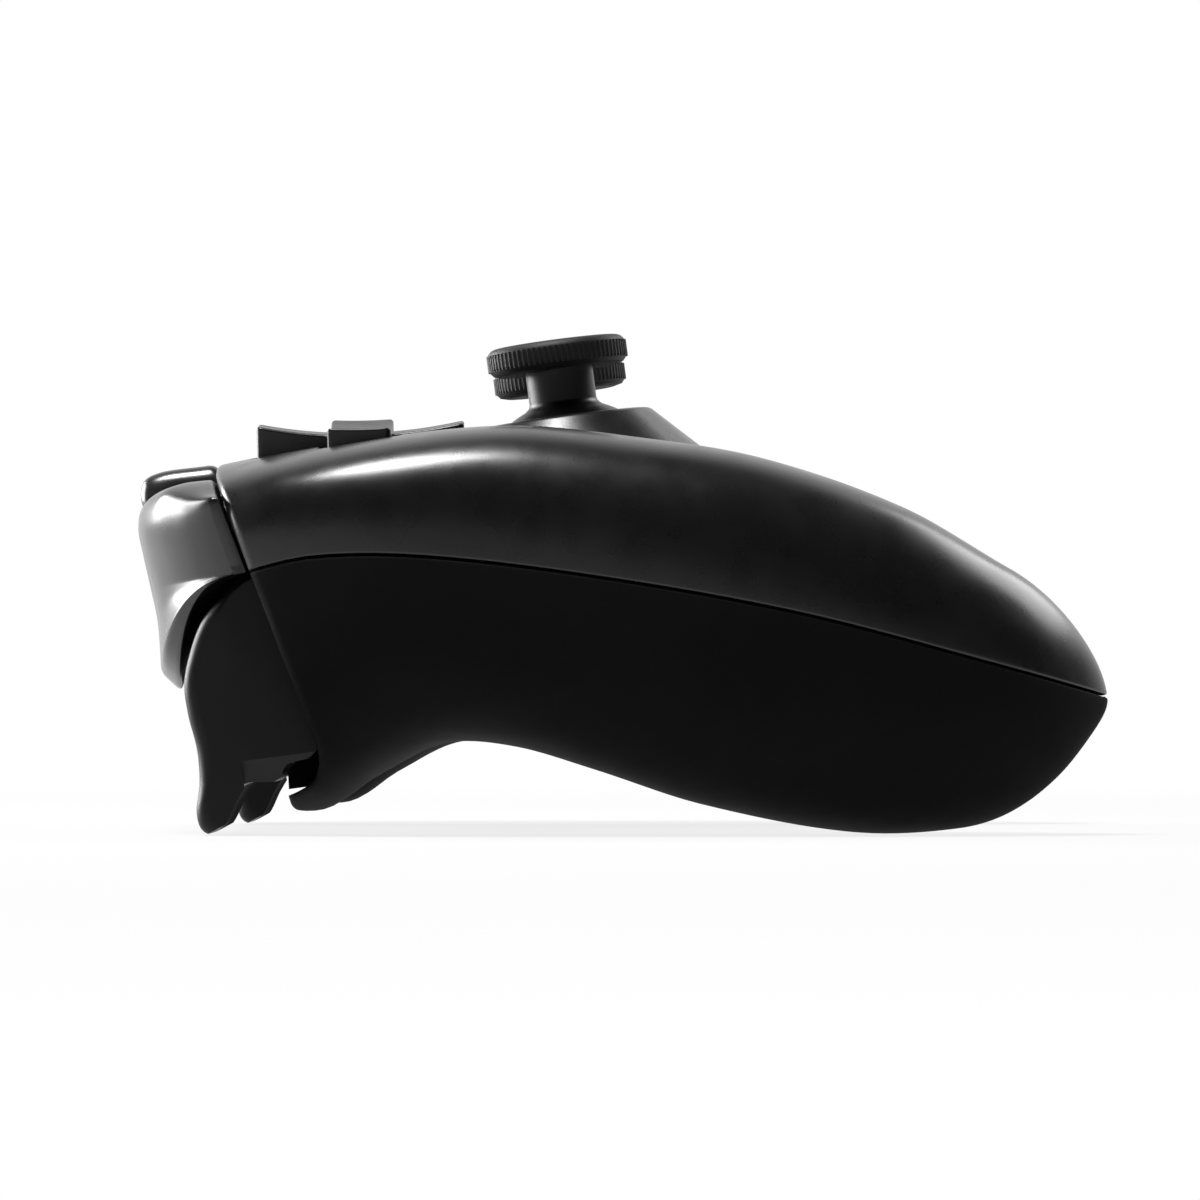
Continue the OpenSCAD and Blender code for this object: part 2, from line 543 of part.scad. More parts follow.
// Direction pad on its ball
ball_r = 2.2;
module dpad_ball() color("#b9bbbf") stand() at_pad() sphere(r = ball_r, $fn = 40);
module dpad() color("#232427") stand() difference() {
    dish = 59;
    union() {
        at_pad() rotate([pad_lean, -pad_roll, 0]) difference() {
            translate([0, 0, 2.4]) linear_extrude(12) pad_plus(0);
            translate([0, 0, pad_top - dome_top + 0.2 + dish]) sphere(r = dish, $fn = 96);
        }
        translate([-cluster_x, pad_y, 0]) disc(pad_ring + 2.2, key_z, key_z + 2.4);
    }
    at_pad() sphere(r = ball_r + rod_fit, $fn = 40);
}

// Face button: domed cap, flange that stays under the face and a stem onto its dome
module key(r, top, dome_h) {
    translate([0, 0, flange_z - 1]) rotate_extrude() polygon(concat(
        [[0, 0], [r, 0], [r, top - dome_h - flange_z + 1 - 0.4], [r - 0.4, top - dome_h - flange_z + 1]],
        [for (t = [0.75, 0.5, 0.25, 0]) [r * t, top - flange_z + 1 - dome_h * t * t]]));
    disc(r + 0.75, flange_z - 1, flange_z);
    disc(2.6, key_z, flange_z - 0.5);
}
module button_north() color("#232427") stand() at_button(90) key(button_d / 2, button_top, 0.7);
module button_south() color("#232427") stand() at_button(270) key(button_d / 2, button_top, 0.7);
module button_east() color("#232427") stand() at_button(0) key(button_d / 2, button_top, 0.7);
module button_west() color("#232427") stand() at_button(180) key(button_d / 2, button_top, 0.7);
module home_button() color("#3b3d42") stand() at_home() key(home_d / 2, face_h + bulge + 0.6, 0.4);
module oval_key() {
    oval(0, flange_z - 0.5, face_h + bulge + 0.5);
    oval(0.75, flange_z - 0.5, flange_z + 0.6);
    disc(2, key_z, flange_z);
}
module back_button() color("#2d2e32") stand() at_oval(-1) oval_key();
module start_button() color("#2d2e32") stand() at_oval(1) oval_key();
module power_switch() color("#2d2e32") stand() translate([0, 0, usb_z]) {
    block(-17.5, -14.5, 49.5, 52.9, -1.1, 1.1);
    block(-19.5, -12.5, 48.6, 49.8, -1.6, 1.6);
}
module pairing_button() color("#2d2e32") stand() translate([15.5, 0, usb_z]) {
    rod_y(1.6, 49.5, 52.7);
    rod_y(2.3, 48.8, 49.8);
}

// Thumb stick: case on the board, sliding carriage, cradle that leans fore and aft, and the stick
case_h = 2.9;
axle_r = 1.1;
cross_r = 0.9;
shaft_r = 1.5;
module stick_module() at_stick() {
    foot = board_top + 0.05 - pivot_z;
    difference() {
        block(-7, 7, -7, 7, foot, case_h);
        block(-6.3, 6.3, -6.3, 6.3, foot + 0.8, case_h - 0.7);
        block(-4.6, 4.6, -4.6, 4.6, 0, 10);
    }
    disc(1.5, foot + 0.5, foot + 1.05);
    block(-4, 4, 6.9, 10.2, foot, -1);
    block(6.9, 10.2, -4, 4, foot, -1);
}
module left_stick_module() color("#55585c") stand() on_side(-1) stick_module();
module right_stick_module() color("#55585c") stand() on_side(1) stick_module();
module stick_carriage() at_stick() difference() {
    low = board_top + 1.55 - pivot_z;
    union() {
        block(-6, 6, -2.2, 2.2, low, low + 0.8);
        for (s = [-1, 1]) block(s * 5.45 - 0.55, s * 5.45 + 0.55, -2.2, 2.2, low, case_h - 0.9);
    }
    rod_x(axle_r + rod_fit, -20, 20);
}
module left_stick_carriage() color("#c9cbce") stand() on_side(-1) stick_carriage();
module right_stick_carriage() color("#c9cbce") stand() on_side(1) stick_carriage();
module stick_cradle() at_stick() difference() {
    union() {
        rod_x(axle_r, -6, 6);
        block(-3.5, 3.5, -3.2, 3.2, -1.6, 1.6);
    }
    block(-2.4, 2.4, -1.65, 1.65, -5, 5);
    rod_y(cross_r + rod_fit, -9, 9);
}
module left_stick_cradle() color("#77797d") stand() on_side(-1) stick_cradle();
module right_stick_cradle() color("#77797d") stand() on_side(1) stick_cradle();
stem_top = cap_top - 2;
module stick_shaft() at_stick() {
    disc(shaft_r, -2.2, stem_top - 5);
    rod_y(cross_r, -3.2, 3.2);
}
module left_stick_shaft() color("#2b2c2f") stand() on_side(-1) stick_shaft();
module right_stick_shaft() color("#2b2c2f") stand() on_side(1) stick_shaft();
skirt_end = 63;
skirt_t = 1.1;
module stick_stem() at_stick() rotate_extrude($fn = 64) {
    r = stem_d / 2;
    a0 = asin(r / skirt_r);
    bore = shaft_r + 0.05;
    q = skirt_r - skirt_t;
    a1 = asin(3 / q);
    polygon(concat(
        [[0, stem_top], [0, stem_top - 4.9], [bore, stem_top - 4.9], [bore, 6.5], [3, 6.5]],
        [for (i = [0:8]) let (a = a1 + (skirt_end - a1) * i / 8) q * [sin(a), cos(a)]],
        [for (i = [0:8]) let (a = skirt_end + (a0 - skirt_end) * i / 8) skirt_r * [sin(a), cos(a)]],
        [[r, stem_top]]));
}
module left_stick_stem() color("#1d1e21") stand() on_side(-1) stick_stem();
module right_stick_stem() color("#1d1e21") stand() on_side(1) stick_stem();
module stick_cap() at_stick() rotate_extrude($fn = 64) {
    r = cap_d / 2;
    s = stem_d / 2 + 0.05;
    z = cap_top - cap_h;
    polygon([[0, stem_top + 0.05], [s, stem_top + 0.05], [s, z], [r - 1.2, z], [r, z + 0.6], [r, cap_top - 0.5],
        [r - 0.5, cap_top], [r - 1.6, cap_top - 0.1], [r - 3.2, cap_top - 0.6], [r * 0.3, cap_top - 0.9], [0, cap_top - 0.9]]);
}
module left_stick_cap() color("#26272a") stand() on_side(-1) stick_cap();
module right_stick_cap() color("#26272a") stand() on_side(1) stick_cap();

// Vibration motors in the grips, each with an off-centre weight on its shaft
can_back = -22;
can_front = -4;
module at_motor() translate([motor_x, 0, motor_z]) children();
module motor() at_motor() difference() {
    rod_y(motor_d / 2, can_back, can_front);
    rod_y(1 + rod_fit, -60, can_back + 6);
}
module left_motor() color("#a6a9ad") stand() on_side(-1) motor();
module right_motor() color("#a6a9ad") stand() on_side(1) motor();
module weight() at_motor() {
    rod_y(1, can_back - 9.5, can_back + 5.9);
    difference() {
        rod_y(weight_r, can_back - 9, can_back - 1);
        block(-20, 20, -60, 0, 1.5, 20);
    }
}
module left_weight() color("#c0c2c6") stand() on_side(-1) weight();
module right_weight() color("#c0c2c6") stand() on_side(1) weight();

front_shell();
back_shell();
front_bridge();
inner_frame();
main_board();
button_board();
battery();
usb_port();
edge_switches();
bumper_switches();
left_stick_module();
right_stick_module();
dpad_membrane();
button_membrane();
center_membrane();
left_motor();
right_motor();
player_lights();
shell_screws();
board_screws();
trigger_pins();
left_trigger_spring();
right_trigger_spring();
left_bumper();
right_bumper();
left_trigger();
right_trigger();
left_trigger_magnet();
right_trigger_magnet();
dpad_ball();
dpad();
button_north();
button_south();
button_east();
button_west();
home_button();
back_button();
start_button();
power_switch();
pairing_button();
left_stick_carriage();
left_stick_cradle();
left_stick_shaft();
left_stick_stem();
left_stick_cap();
right_stick_carriage();
right_stick_cradle();
right_stick_shaft();
right_stick_stem();
right_stick_cap();
left_weight();
right_weight();
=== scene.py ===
"""Gamepad controller in a plain white studio, seen level from the player's left.

Sizes are in millimetres with the face of the pad level, X to the player's right and Y forward.
to_table() leans each piece into the standing pose and turns it into metres.
"""
import math
import bmesh
import bpy
import numpy as np
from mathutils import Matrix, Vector
from mathutils.bvhtree import BVHTree


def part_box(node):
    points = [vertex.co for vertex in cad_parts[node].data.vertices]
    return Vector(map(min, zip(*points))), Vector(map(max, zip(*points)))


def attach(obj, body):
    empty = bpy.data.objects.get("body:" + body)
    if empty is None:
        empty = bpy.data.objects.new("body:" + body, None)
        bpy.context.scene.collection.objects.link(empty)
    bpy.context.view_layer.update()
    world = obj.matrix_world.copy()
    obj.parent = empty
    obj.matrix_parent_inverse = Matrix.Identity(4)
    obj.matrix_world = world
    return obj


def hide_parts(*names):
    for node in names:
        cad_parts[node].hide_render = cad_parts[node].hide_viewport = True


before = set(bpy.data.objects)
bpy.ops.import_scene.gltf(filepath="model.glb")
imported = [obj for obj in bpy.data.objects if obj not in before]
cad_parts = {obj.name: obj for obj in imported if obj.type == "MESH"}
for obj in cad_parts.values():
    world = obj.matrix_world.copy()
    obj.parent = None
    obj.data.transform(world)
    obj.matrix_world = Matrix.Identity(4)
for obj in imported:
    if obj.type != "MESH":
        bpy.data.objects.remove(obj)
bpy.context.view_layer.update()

# Housing sizes
FACE_TILT = math.radians(7.5)
HALF_W = 75.0
GRIP_REACH = 56.6
GRIP_SPREAD = 53.5
WAIST = 19.0
FACE_H = 19.2
GRIP_DEPTH = 34.9
BELLY = 15.0
WALL = 2.2
BULGE = 0.9
SEAM_GAP = 0.3
TOP_ROUND = 9.0
BASE_ROUND = 19.0
CUT_Y = 39.1
CUT_LEAN = 0.245
LIP_Y = 39.8
SEAM_FILLET = 0.3
TONGUE = 0.27
FRONT_FILLET = 0.9

# Past the pad: out to the side or the front, under it and over it
FAR = 100.0
UNDER = -60.0
OVER = 40.0

# Sticks, pad and keys
STICK_X = 32.0
STICK_Y = 1.9
PIVOT_Z = 9.5
CAP_R = 8.35
CAP_H = 3.5
CAP_TOP = 19.3
STEM_R = 4.05
SKIRT_R = 12.2
SKIRT_T = 1.1
WELL_R = 8.7
SKIRT_GAP = 0.35
COLLAR_TOP = 19.6
CLUSTER_X = 46.0
PAD_Y = 27.0
PAD_SPAN = 24.4
PAD_ARM = 7.4
PAD_TOP = 20.3
PAD_LEAN = math.radians(6.4)
PAD_ROLL = math.radians(4.5)
PAD_GAP = 1.0
BUTTON_Y = 25.0
BUTTON_R = 5.2
BUTTON_RING = 11.6
BUTTON_TOP = 20.9
BUTTON_GAP = 0.3
HOME_R = 5.5
HOME_Y = 24.0
OVAL_X = 15.0
OVAL_Y = 27.0
OVAL_L = 8.0
OVAL_R = 2.0
PAD_CENTRE = (-CLUSTER_X, PAD_Y)
PAD_BALL_Z = 12.3
KEY_Z = 12.7
FLANGE_Z = 13.5
FLANGE = 0.75
LIGHT_R = 1.2
LIGHT_Y = 11.0
LIGHT_X = (-8.25, -2.75, 2.75, 8.25)

# Front: trim, bumpers and triggers
TRIM_H = FACE_H + BULGE - 0.3
BRIDGE_IN = 27.0
BRIDGE_WIDE = 39.2
USB_Z = 4.65
SLIDE_X = -15.0
PAIRING_X = 15.5
BUMPER_IN = 28.0
BUMPER_OUT = 66.3
BUMPER_H = 16.9
HINGE = (44.6, 11.4)
HINGE_R = 1.2
TRIGGER_IN = 42.0
TRIGGER_OUT = 63.6
TRIGGER_DROP = 24.1
TRIGGER_TIP = 49.2
PIN = (36.5, 1.5)
PIN_BORE = 1.58
# Shell screws of one half: across, forward, foot of the boss, seat of the head, split of the boss
SCREWS = ((27.0, 31.0, -15.0, -8.0, 4.0), (26.0, -13.0, -14.6, -10.0, -4.0), (53.5, -45.0, -31.9, -25.9, -14.0))

RAIL = np.array([
    (0, -WAIST), (13, -WAIST - 0.6), (24, -WAIST - 3.5), (32, -WAIST - 11), (36.5, -WAIST - 20),
    (41, -GRIP_REACH + 9.3), (46.5, -GRIP_REACH + 2.8), (GRIP_SPREAD, -GRIP_REACH),
    (GRIP_SPREAD + 12.5, -GRIP_REACH + 10.8), (HALF_W - 2, -26), (HALF_W, 4), (71, 36), (52, 56), (26, 60), (0, 60)])
LAST = len(RAIL) - 1
TOP_LINE = np.array([
    (-58, FACE_H - 32.4), (-47.6, FACE_H - 25), (-35.9, FACE_H - 16.1), (-20.4, FACE_H - 8.3),
    (-6.8, FACE_H - 4.1), (8, FACE_H - 0.7), (24, FACE_H), (60, FACE_H - 0.6)])
SEAM_LINE = np.array([(-58, -22.3), (-44, -16.6), (-22, -7.8), (0, -0.8), (20, 4.3), (33, 6), (42, 5.2), (60, 3)])
GRIP_LINE = np.array([
    (-58, 5.6 - GRIP_DEPTH), (-50, 1.3 - GRIP_DEPTH), (-38, -GRIP_DEPTH), (-25, 1.2 - GRIP_DEPTH),
    (-8, 6.7 - GRIP_DEPTH), (4, -22.5), (13, -18.6), (21, -17.3), (29.5, -20.5), (36, -24.2), (45, -24.2)])


def table_shift():
    """How far the leaned pad moves to stand on the table, read from the battery's box."""
    back, front, under = -1.0, 27.0, WALL + 0.85 - BELLY
    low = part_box("battery")[0] * 1000
    c, s = math.cos(FACE_TILT), math.sin(FACE_TILT)
    return low.y - (back * c + under * s), low.z - (under * c - front * s)


SHIFT_Y, SHIFT_Z = table_shift()


def to_table(points):
    """Points of the level pad in millimetres, leaned into the standing pose in metres."""
    p = np.asarray(points, float)
    c, s = math.cos(FACE_TILT), math.sin(FACE_TILT)
    y = p[:, 1] * c + p[:, 2] * s + SHIFT_Y
    z = p[:, 2] * c - p[:, 1] * s + SHIFT_Z
    return np.column_stack([p[:, 0], y, z]) / 1000


# Curves

def smooth(a, b, x):
    t = np.clip((x - a) / (b - a), 0, 1)
    return t * t * (3 - 2 * t)


def height(line, x):
    """Smooth height over forward position through the knots of a side outline."""
    x = np.asarray(x, float)
    n = len(line)
    i = np.clip(np.searchsorted(line[1:-1, 0], x, side="left"), 0, n - 2)
    before, after = np.maximum(np.arange(n) - 1, 0), np.minimum(np.arange(n) + 1, n - 1)
    slope = (line[after, 1] - line[before, 1]) / (line[after, 0] - line[before, 0])
    h = line[i + 1, 0] - line[i, 0]
    t = np.clip((x - line[i, 0]) / h, 0, 1)
    a, b, ma, mb = line[i, 1], line[i + 1, 1], h * slope[i], h * slope[i + 1]
    return a + t * (ma + t * (3 * (b - a) - 2 * ma - mb + t * (ma + mb - 2 * (b - a))))


def inset_rail(depth):
    """The plan outline moved inwards, with one point past each end."""
    flip = np.array([-1, 1])
    ends = np.vstack([RAIL[1] * flip, RAIL, RAIL[-2] * flip])
    run = ends[2:] - ends[:-2]
    left = np.column_stack([-run[:, 1], run[:, 0]]) / np.linalg.norm(run, axis=1)[:, None]
    moved = RAIL + depth * left
    return np.vstack([moved[1] * flip, moved, moved[-2] * flip])


RAILS = {0.0: inset_rail(0.0), WALL: inset_rail(WALL)}


def on_rail(rail, u):
    i = min(int(u), len(rail) - 4)
    t = u - i
    a, b, c, d = rail[i:i + 4]
    return b + 0.5 * t * ((c - a) + t * ((2 * a - 5 * b + 4 * c - d) + t * (3 * (b - c) + d - a)))


def flow(points, count, closed=False):
    """Evenly spaced points on a smooth curve through a few plane points."""
    p = np.asarray(points, float)
    ends = [p[-1], *p, p[0], p[1]] if closed else [2 * p[0] - p[1], *p, 2 * p[-1] - p[-2]]
    ends = np.array(ends)
    knots = np.concatenate([[0], np.cumsum(np.sqrt(np.linalg.norm(np.diff(ends, axis=0), axis=1)))])
    out = []
    for i in range(len(ends) - 3):
        k0, k1, k2, k3 = knots[i:i + 4]
        q0, q1, q2, q3 = ends[i:i + 4]
        t = np.linspace(k1, k2, 40, endpoint=False)[:, None]
        a = q0 * (k1 - t) / (k1 - k0) + q1 * (t - k0) / (k1 - k0)
        b = q1 * (k2 - t) / (k2 - k1) + q2 * (t - k1) / (k2 - k1)
        c = q2 * (k3 - t) / (k3 - k2) + q3 * (t - k2) / (k3 - k2)
        d = a * (k2 - t) / (k2 - k0) + b * (t - k0) / (k2 - k0)
        e = b * (k3 - t) / (k3 - k1) + c * (t - k1) / (k3 - k1)
        out.append(d * (k2 - t) / (k2 - k1) + e * (t - k1) / (k2 - k1))
    out.append(p[:1] if closed else p[-1:])
    return spaced(np.vstack(out), count + 1)[:-1] if closed else spaced(np.vstack(out), count)


def lengths(run):
    return np.concatenate([[0], np.cumsum(np.linalg.norm(np.diff(run, axis=0), axis=1))])


def at_length(run, s, values=None):
    """Points at lengths along a run, or what values holds there."""
    values = run if values is None else values
    along = lengths(run)
    return np.column_stack([np.interp(s, along, values[:, j]) for j in range(values.shape[1])])


def spaced(run, count, skip=0.0, stop=0.0):
    run = np.asarray(run, float)
    return at_length(run, np.linspace(skip, lengths(run)[-1] - stop, count))


def loop_of(runs, counts, rounds, steps=4):
    """One closed outline from open runs that meet end to end, each corner rounded off where its round isn't 0."""
    runs = [np.asarray(r, float) for r in runs]
    size = [lengths(r)[-1] for r in runs]
    n = len(runs)
    trim = [min(rounds[i], 0.45 * size[i], 0.45 * size[(i + 1) % n]) if rounds[i] else 0 for i in range(n)]
    out = []
    for i, run in enumerate(runs):
        part = spaced(run, counts[i], trim[i - 1], trim[i])
        out.append(part if rounds[i] else part[:-1])
        if rounds[i]:
            tail, corner = part[-1], run[-1]
            head = at_length(runs[(i + 1) % n], [trim[i]])[0]
            for t in np.linspace(0, 1, steps + 1)[1:-1]:
                out.append([(1 - t) ** 2 * tail + 2 * t * (1 - t) * corner + t * t * head])
    return np.vstack(out)


def inward(loop, depth):
    """A closed plane outline, run anticlockwise, moved inwards."""
    run = np.roll(loop, -1, 0) - np.roll(loop, 1, 0)
    left = np.column_stack([-run[:, 1], run[:, 0]]) / np.maximum(np.linalg.norm(run, axis=1), 1e-9)[:, None]
    return loop + depth * left


def anticlockwise(loop):
    x, y = loop[:, 0], loop[:, 1]
    return loop if np.sum(x * np.roll(y, -1) - y * np.roll(x, -1)) > 0 else loop[::-1]


def arc(centre, radius, degrees):
    """Plane points of an arc, by their angles."""
    a = np.radians(degrees)
    return np.column_stack([centre[0] + radius * np.cos(a), centre[1] + radius * np.sin(a)])


def at_x(outline, x):
    """A side outline (forward, up) set across the pad."""
    return np.column_stack([np.full(len(outline), x), outline])


def at_z(outline, z):
    """A plan outline set at a height."""
    return np.column_stack([outline, np.full(len(outline), z)])


# Meshes

MERGE = 0.002
CRISP = math.radians(34)


def tidy_up(bm):
    """Merges points that coincide and turns all faces outwards."""
    bmesh.ops.remove_doubles(bm, verts=bm.verts, dist=MERGE)
    bmesh.ops.dissolve_degenerate(bm, edges=bm.edges, dist=MERGE / 2)
    bmesh.ops.recalc_face_normals(bm, faces=bm.faces)
    if bm.calc_volume(signed=True) < 0:
        bmesh.ops.reverse_faces(bm, faces=bm.faces)
    bmesh.ops.triangulate(bm, faces=bm.faces)


def new_object(name, data):
    made = bpy.data.objects.new(name, data)
    bpy.context.scene.collection.objects.link(made)
    return made


def placed(name, bm):
    """A mesh of the level pad as an object on the table."""
    for v, spot in zip(bm.verts, to_table([v.co for v in bm.verts])):
        v.co = spot
    mesh = bpy.data.meshes.new(name)
    bm.to_mesh(mesh)
    bm.free()
    return new_object(name, mesh)


def raw_mesh(name, points, faces):
    """A closed mesh on the table from points of the level pad, faces outwards."""
    bm = bmesh.new()
    verts = [bm.verts.new(p) for p in np.asarray(points, float)]
    for f in faces:
        bm.faces.new([verts[i] for i in f])
    tidy_up(bm)
    return placed(name, bm)


def loft_faces(rows, columns, ends):
    faces = []
    for i in range(rows - 1):
        for j in range(columns):
            k = (j + 1) % columns
            faces.append((i * columns + j, i * columns + k, (i + 1) * columns + k, (i + 1) * columns + j))
    if ends:
        faces.append(tuple(range(columns)))
        faces.append(tuple(range((rows - 1) * columns, rows * columns)))
    return faces


def loft(name, rows):
    """A solid through closed rows of points that have the same count."""
    rows = np.asarray(rows, float)
    return raw_mesh(name, rows.reshape(-1, 3), loft_faces(*rows.shape[:2], True))


def across(outline, x0, x1):
    """A side outline drawn out across the pad."""
    return loft("cutter", [at_x(outline, x) for x in (x0, x1)])


def both_sides(outline, x0, x1):
    """A side outline drawn out on the left of the pad and again on the right."""
    return [across(outline, -x1, -x0), across(outline, x0, x1)]


def turned(name, outline, centre, around=96):
    """A solid of revolution about an upright line, from an outline of (radius, height)."""
    outline = np.asarray(outline, float)
    turns = np.linspace(0, 2 * math.pi, around, endpoint=False)
    n = len(outline)
    points, faces = [], []
    for a in turns:
        points += [(centre[0] + r * math.cos(a), centre[1] + r * math.sin(a), centre[2] + z) for r, z in outline]
    for i in range(around):
        k = (i + 1) % around
        for j in range(n - 1):
            faces.append((i * n + j, k * n + j, k * n + j + 1, i * n + j + 1))
    return raw_mesh(name, points, faces)


def rod(start, end, radius, sides=32):
    """A plain round bar between two points, for bores and trunnions."""
    a, b = np.asarray(start, float), np.asarray(end, float)
    axis = (b - a) / np.linalg.norm(b - a)
    u = np.cross(axis, (0.3, 0.5, 0.81))
    u /= np.linalg.norm(u)
    v = np.cross(axis, u)
    turns = np.linspace(0, 2 * math.pi, sides, endpoint=False)
    ring = radius * (np.cos(turns)[:, None] * u + np.sin(turns)[:, None] * v)
    return loft("rod", [a + ring, b + ring])


def block(x0, x1, y0, y1, z0, z1):
    return loft("block", [[(x, y0, z0), (x, y1, z0), (x, y1, z1), (x, y0, z1)] for x in (x0, x1)])


def join_up(pieces):
    """Several separate tools as one object, so that one cut uses them all."""
    bm = bmesh.new()
    for p in pieces:
        bm.from_mesh(p.data)
    bm.to_mesh(pieces[0].data)
    bm.free()
    for p in pieces[1:]:
        bpy.data.objects.remove(p)
    return pieces[0]


def close_slits(mesh):
    """Fills the hair-thin slits that a cut can leave along grazing edges."""
    bm = bmesh.new()
    bm.from_mesh(mesh)
    bmesh.ops.remove_doubles(bm, verts=bm.verts, dist=5e-7)
    bmesh.ops.dissolve_degenerate(bm, edges=bm.edges, dist=2e-7)
    bmesh.ops.holes_fill(bm, edges=[e for e in bm.edges if e.is_boundary], sides=12)
    bmesh.ops.triangulate(bm, faces=bm.faces)
    bm.to_mesh(mesh)
    bm.free()


def carve(piece, tools, operation="DIFFERENCE"):
    """Cuts tools out of a piece, or adds them to it."""
    tool = join_up(tools)
    mod = piece.modifiers.new("carve", "BOOLEAN")
    mod.operation = operation
    mod.solver = "EXACT"
    mod.object = tool
    graph = bpy.context.evaluated_depsgraph_get()
    mesh = bpy.data.meshes.new_from_object(piece.evaluated_get(graph))
    piece.modifiers.remove(mod)
    close_slits(mesh)
    old = piece.data
    piece.data = mesh
    bpy.data.meshes.remove(old)
    bpy.data.objects.remove(tool)
    return piece


def mirrored(piece, name):
    """The same piece on the other side of the centre plane."""
    mesh = piece.data.copy()
    bm = bmesh.new()
    bm.from_mesh(mesh)
    for v in bm.verts:
        v.co.x = -v.co.x
    bmesh.ops.reverse_faces(bm, faces=bm.faces)
    bm.to_mesh(mesh)
    bm.free()
    return new_object(name, mesh)


def finish_piece(piece, name, body, slot, nodes=()):
    """Names a piece, shades it smooth between crisp edges and fixes it to its body."""
    piece.name = name
    mesh = piece.data
    mesh.name = name
    mesh.materials.clear()
    mesh.materials.append(FINISHES[slot])
    mesh.shade_smooth()
    mesh.set_sharp_from_angle(angle=CRISP)
    even = piece.modifiers.new("even_shading", "WEIGHTED_NORMAL")
    even.keep_sharp = True
    even.weight = 60
    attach(piece, body)
    if nodes:
        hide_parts(*nodes)


def finish_pair(right, kind, slot):
    """Finishes a piece of the right side and its mirrored twin on the left."""
    left = mirrored(right, "left_" + kind)
    for side, piece in (("right", right), ("left", left)):
        body = side + "_" + kind
        finish_piece(piece, body + "_cap", body, slot, [body])


# Finishes

def feed(tree, node, inputs):
    """Sets each input of a node, or links it where a socket is given."""
    for name, value in inputs.items():
        if isinstance(value, bpy.types.NodeSocket):
            tree.links.new(value, node.inputs[name])
        else:
            node.inputs[name].default_value = value


def add(tree, kind, inputs, **settings):
    """A new node with its settings and inputs."""
    node = tree.nodes.new(kind)
    for name, value in settings.items():
        setattr(node, name, value)
    feed(tree, node, inputs)
    return node


def new_finish(name):
    finish = bpy.data.materials.new(name)
    finish.use_nodes = True
    tree = finish.node_tree
    place = tree.nodes.new("ShaderNodeTexCoord").outputs["Object"]
    return finish, tree, tree.nodes["Principled BSDF"], place


def noise(tree, place, scale, detail=2.0, roughness=0.5):
    return add(tree, "ShaderNodeTexNoise", {
        "Scale": scale, "Detail": detail, "Roughness": roughness, "Vector": place}).outputs["Fac"]


def ranged(tree, value, start, end, low, high, **settings):
    """Maps the stretch of a value from start to end onto low to high."""
    node = add(tree, "ShaderNodeMapRange", {
        "Value": value, "From Min": start, "From Max": end, "To Min": low, "To Max": high}, **settings)
    return node.outputs["Result"]


def spread(tree, value, low, high):
    """Maps the middle of a noise onto a range of values."""
    return ranged(tree, value, 0.3, 0.7, low, high)


def two_tones(tree, value, dark, light):
    ramp = add(tree, "ShaderNodeValToRGB", {"Fac": value})
    for stop, position, tone in zip(ramp.color_ramp.elements, (0.32, 0.68), (dark, light)):
        stop.position = position
        stop.color = (*tone, 1)
    return ramp.outputs["Color"]


def bumped(tree, shader, value, strength, depth):
    bump = add(tree, "ShaderNodeBump", {"Strength": strength, "Distance": depth, "Height": value})
    feed(tree, shader, {"Normal": bump.outputs["Normal"]})


def moulded(name, tone, rough, gloss, relief=0.12):
    """Moulded plastic: fine spark-eroded grain, slight clouding of tone and gloss."""
    tint = (1.0, 1.0, 1.04)
    finish, tree, shader, place = new_finish(name)
    cloud = noise(tree, place, 70.0, 3.0)
    patch = noise(tree, place, 240.0)
    grain = noise(tree, place, 5200.0, 2.0, 0.6)
    both = add(tree, "ShaderNodeMath", {0: patch, 1: 0.4, 2: grain}, operation="MULTIPLY_ADD")
    dark, light = ([share * tone * c for c in tint] for share in (0.86, 1.14))
    feed(tree, shader, {
        "Base Color": two_tones(tree, cloud, dark, light),
        "Roughness": spread(tree, patch, rough - 0.03, rough + 0.03),
        "Specular IOR Level": gloss})
    bumped(tree, shader, both.outputs["Value"], relief, 0.00004)
    return finish


def brushed(name, tone, rough):
    """Bright metal with fine drawn lines."""
    finish, tree, shader, place = new_finish(name)
    stretch = add(tree, "ShaderNodeMapping", {"Scale": (1.0, 0.08, 1.0), "Vector": place})
    lines = noise(tree, stretch.outputs["Vector"], 2600.0, 3.0)
    feed(tree, shader, {
        "Base Color": two_tones(tree, lines, [tone * 0.85] * 3, [tone] * 3),
        "Roughness": spread(tree, lines, rough - 0.06, rough + 0.08),
        "Metallic": 1.0})
    bumped(tree, shader, lines, 0.1, 0.00002)
    return finish


def rubber(name, tone, rough):
    """Soft rubber: dull, with a fine pebbled skin."""
    finish, tree, shader, place = new_finish(name)
    cells = add(tree, "ShaderNodeTexVoronoi", {"Scale": 2600.0, "Vector": place})
    cloud = noise(tree, place, 160.0)
    feed(tree, shader, {
        "Base Color": two_tones(tree, cloud, [tone * 0.8] * 3, [tone * 1.2] * 3),
        "Roughness": spread(tree, cloud, rough - 0.05, rough + 0.05),
        "Specular IOR Level": 0.3})
    bumped(tree, shader, cells.outputs["Distance"], 0.18, 0.00005)
    return finish


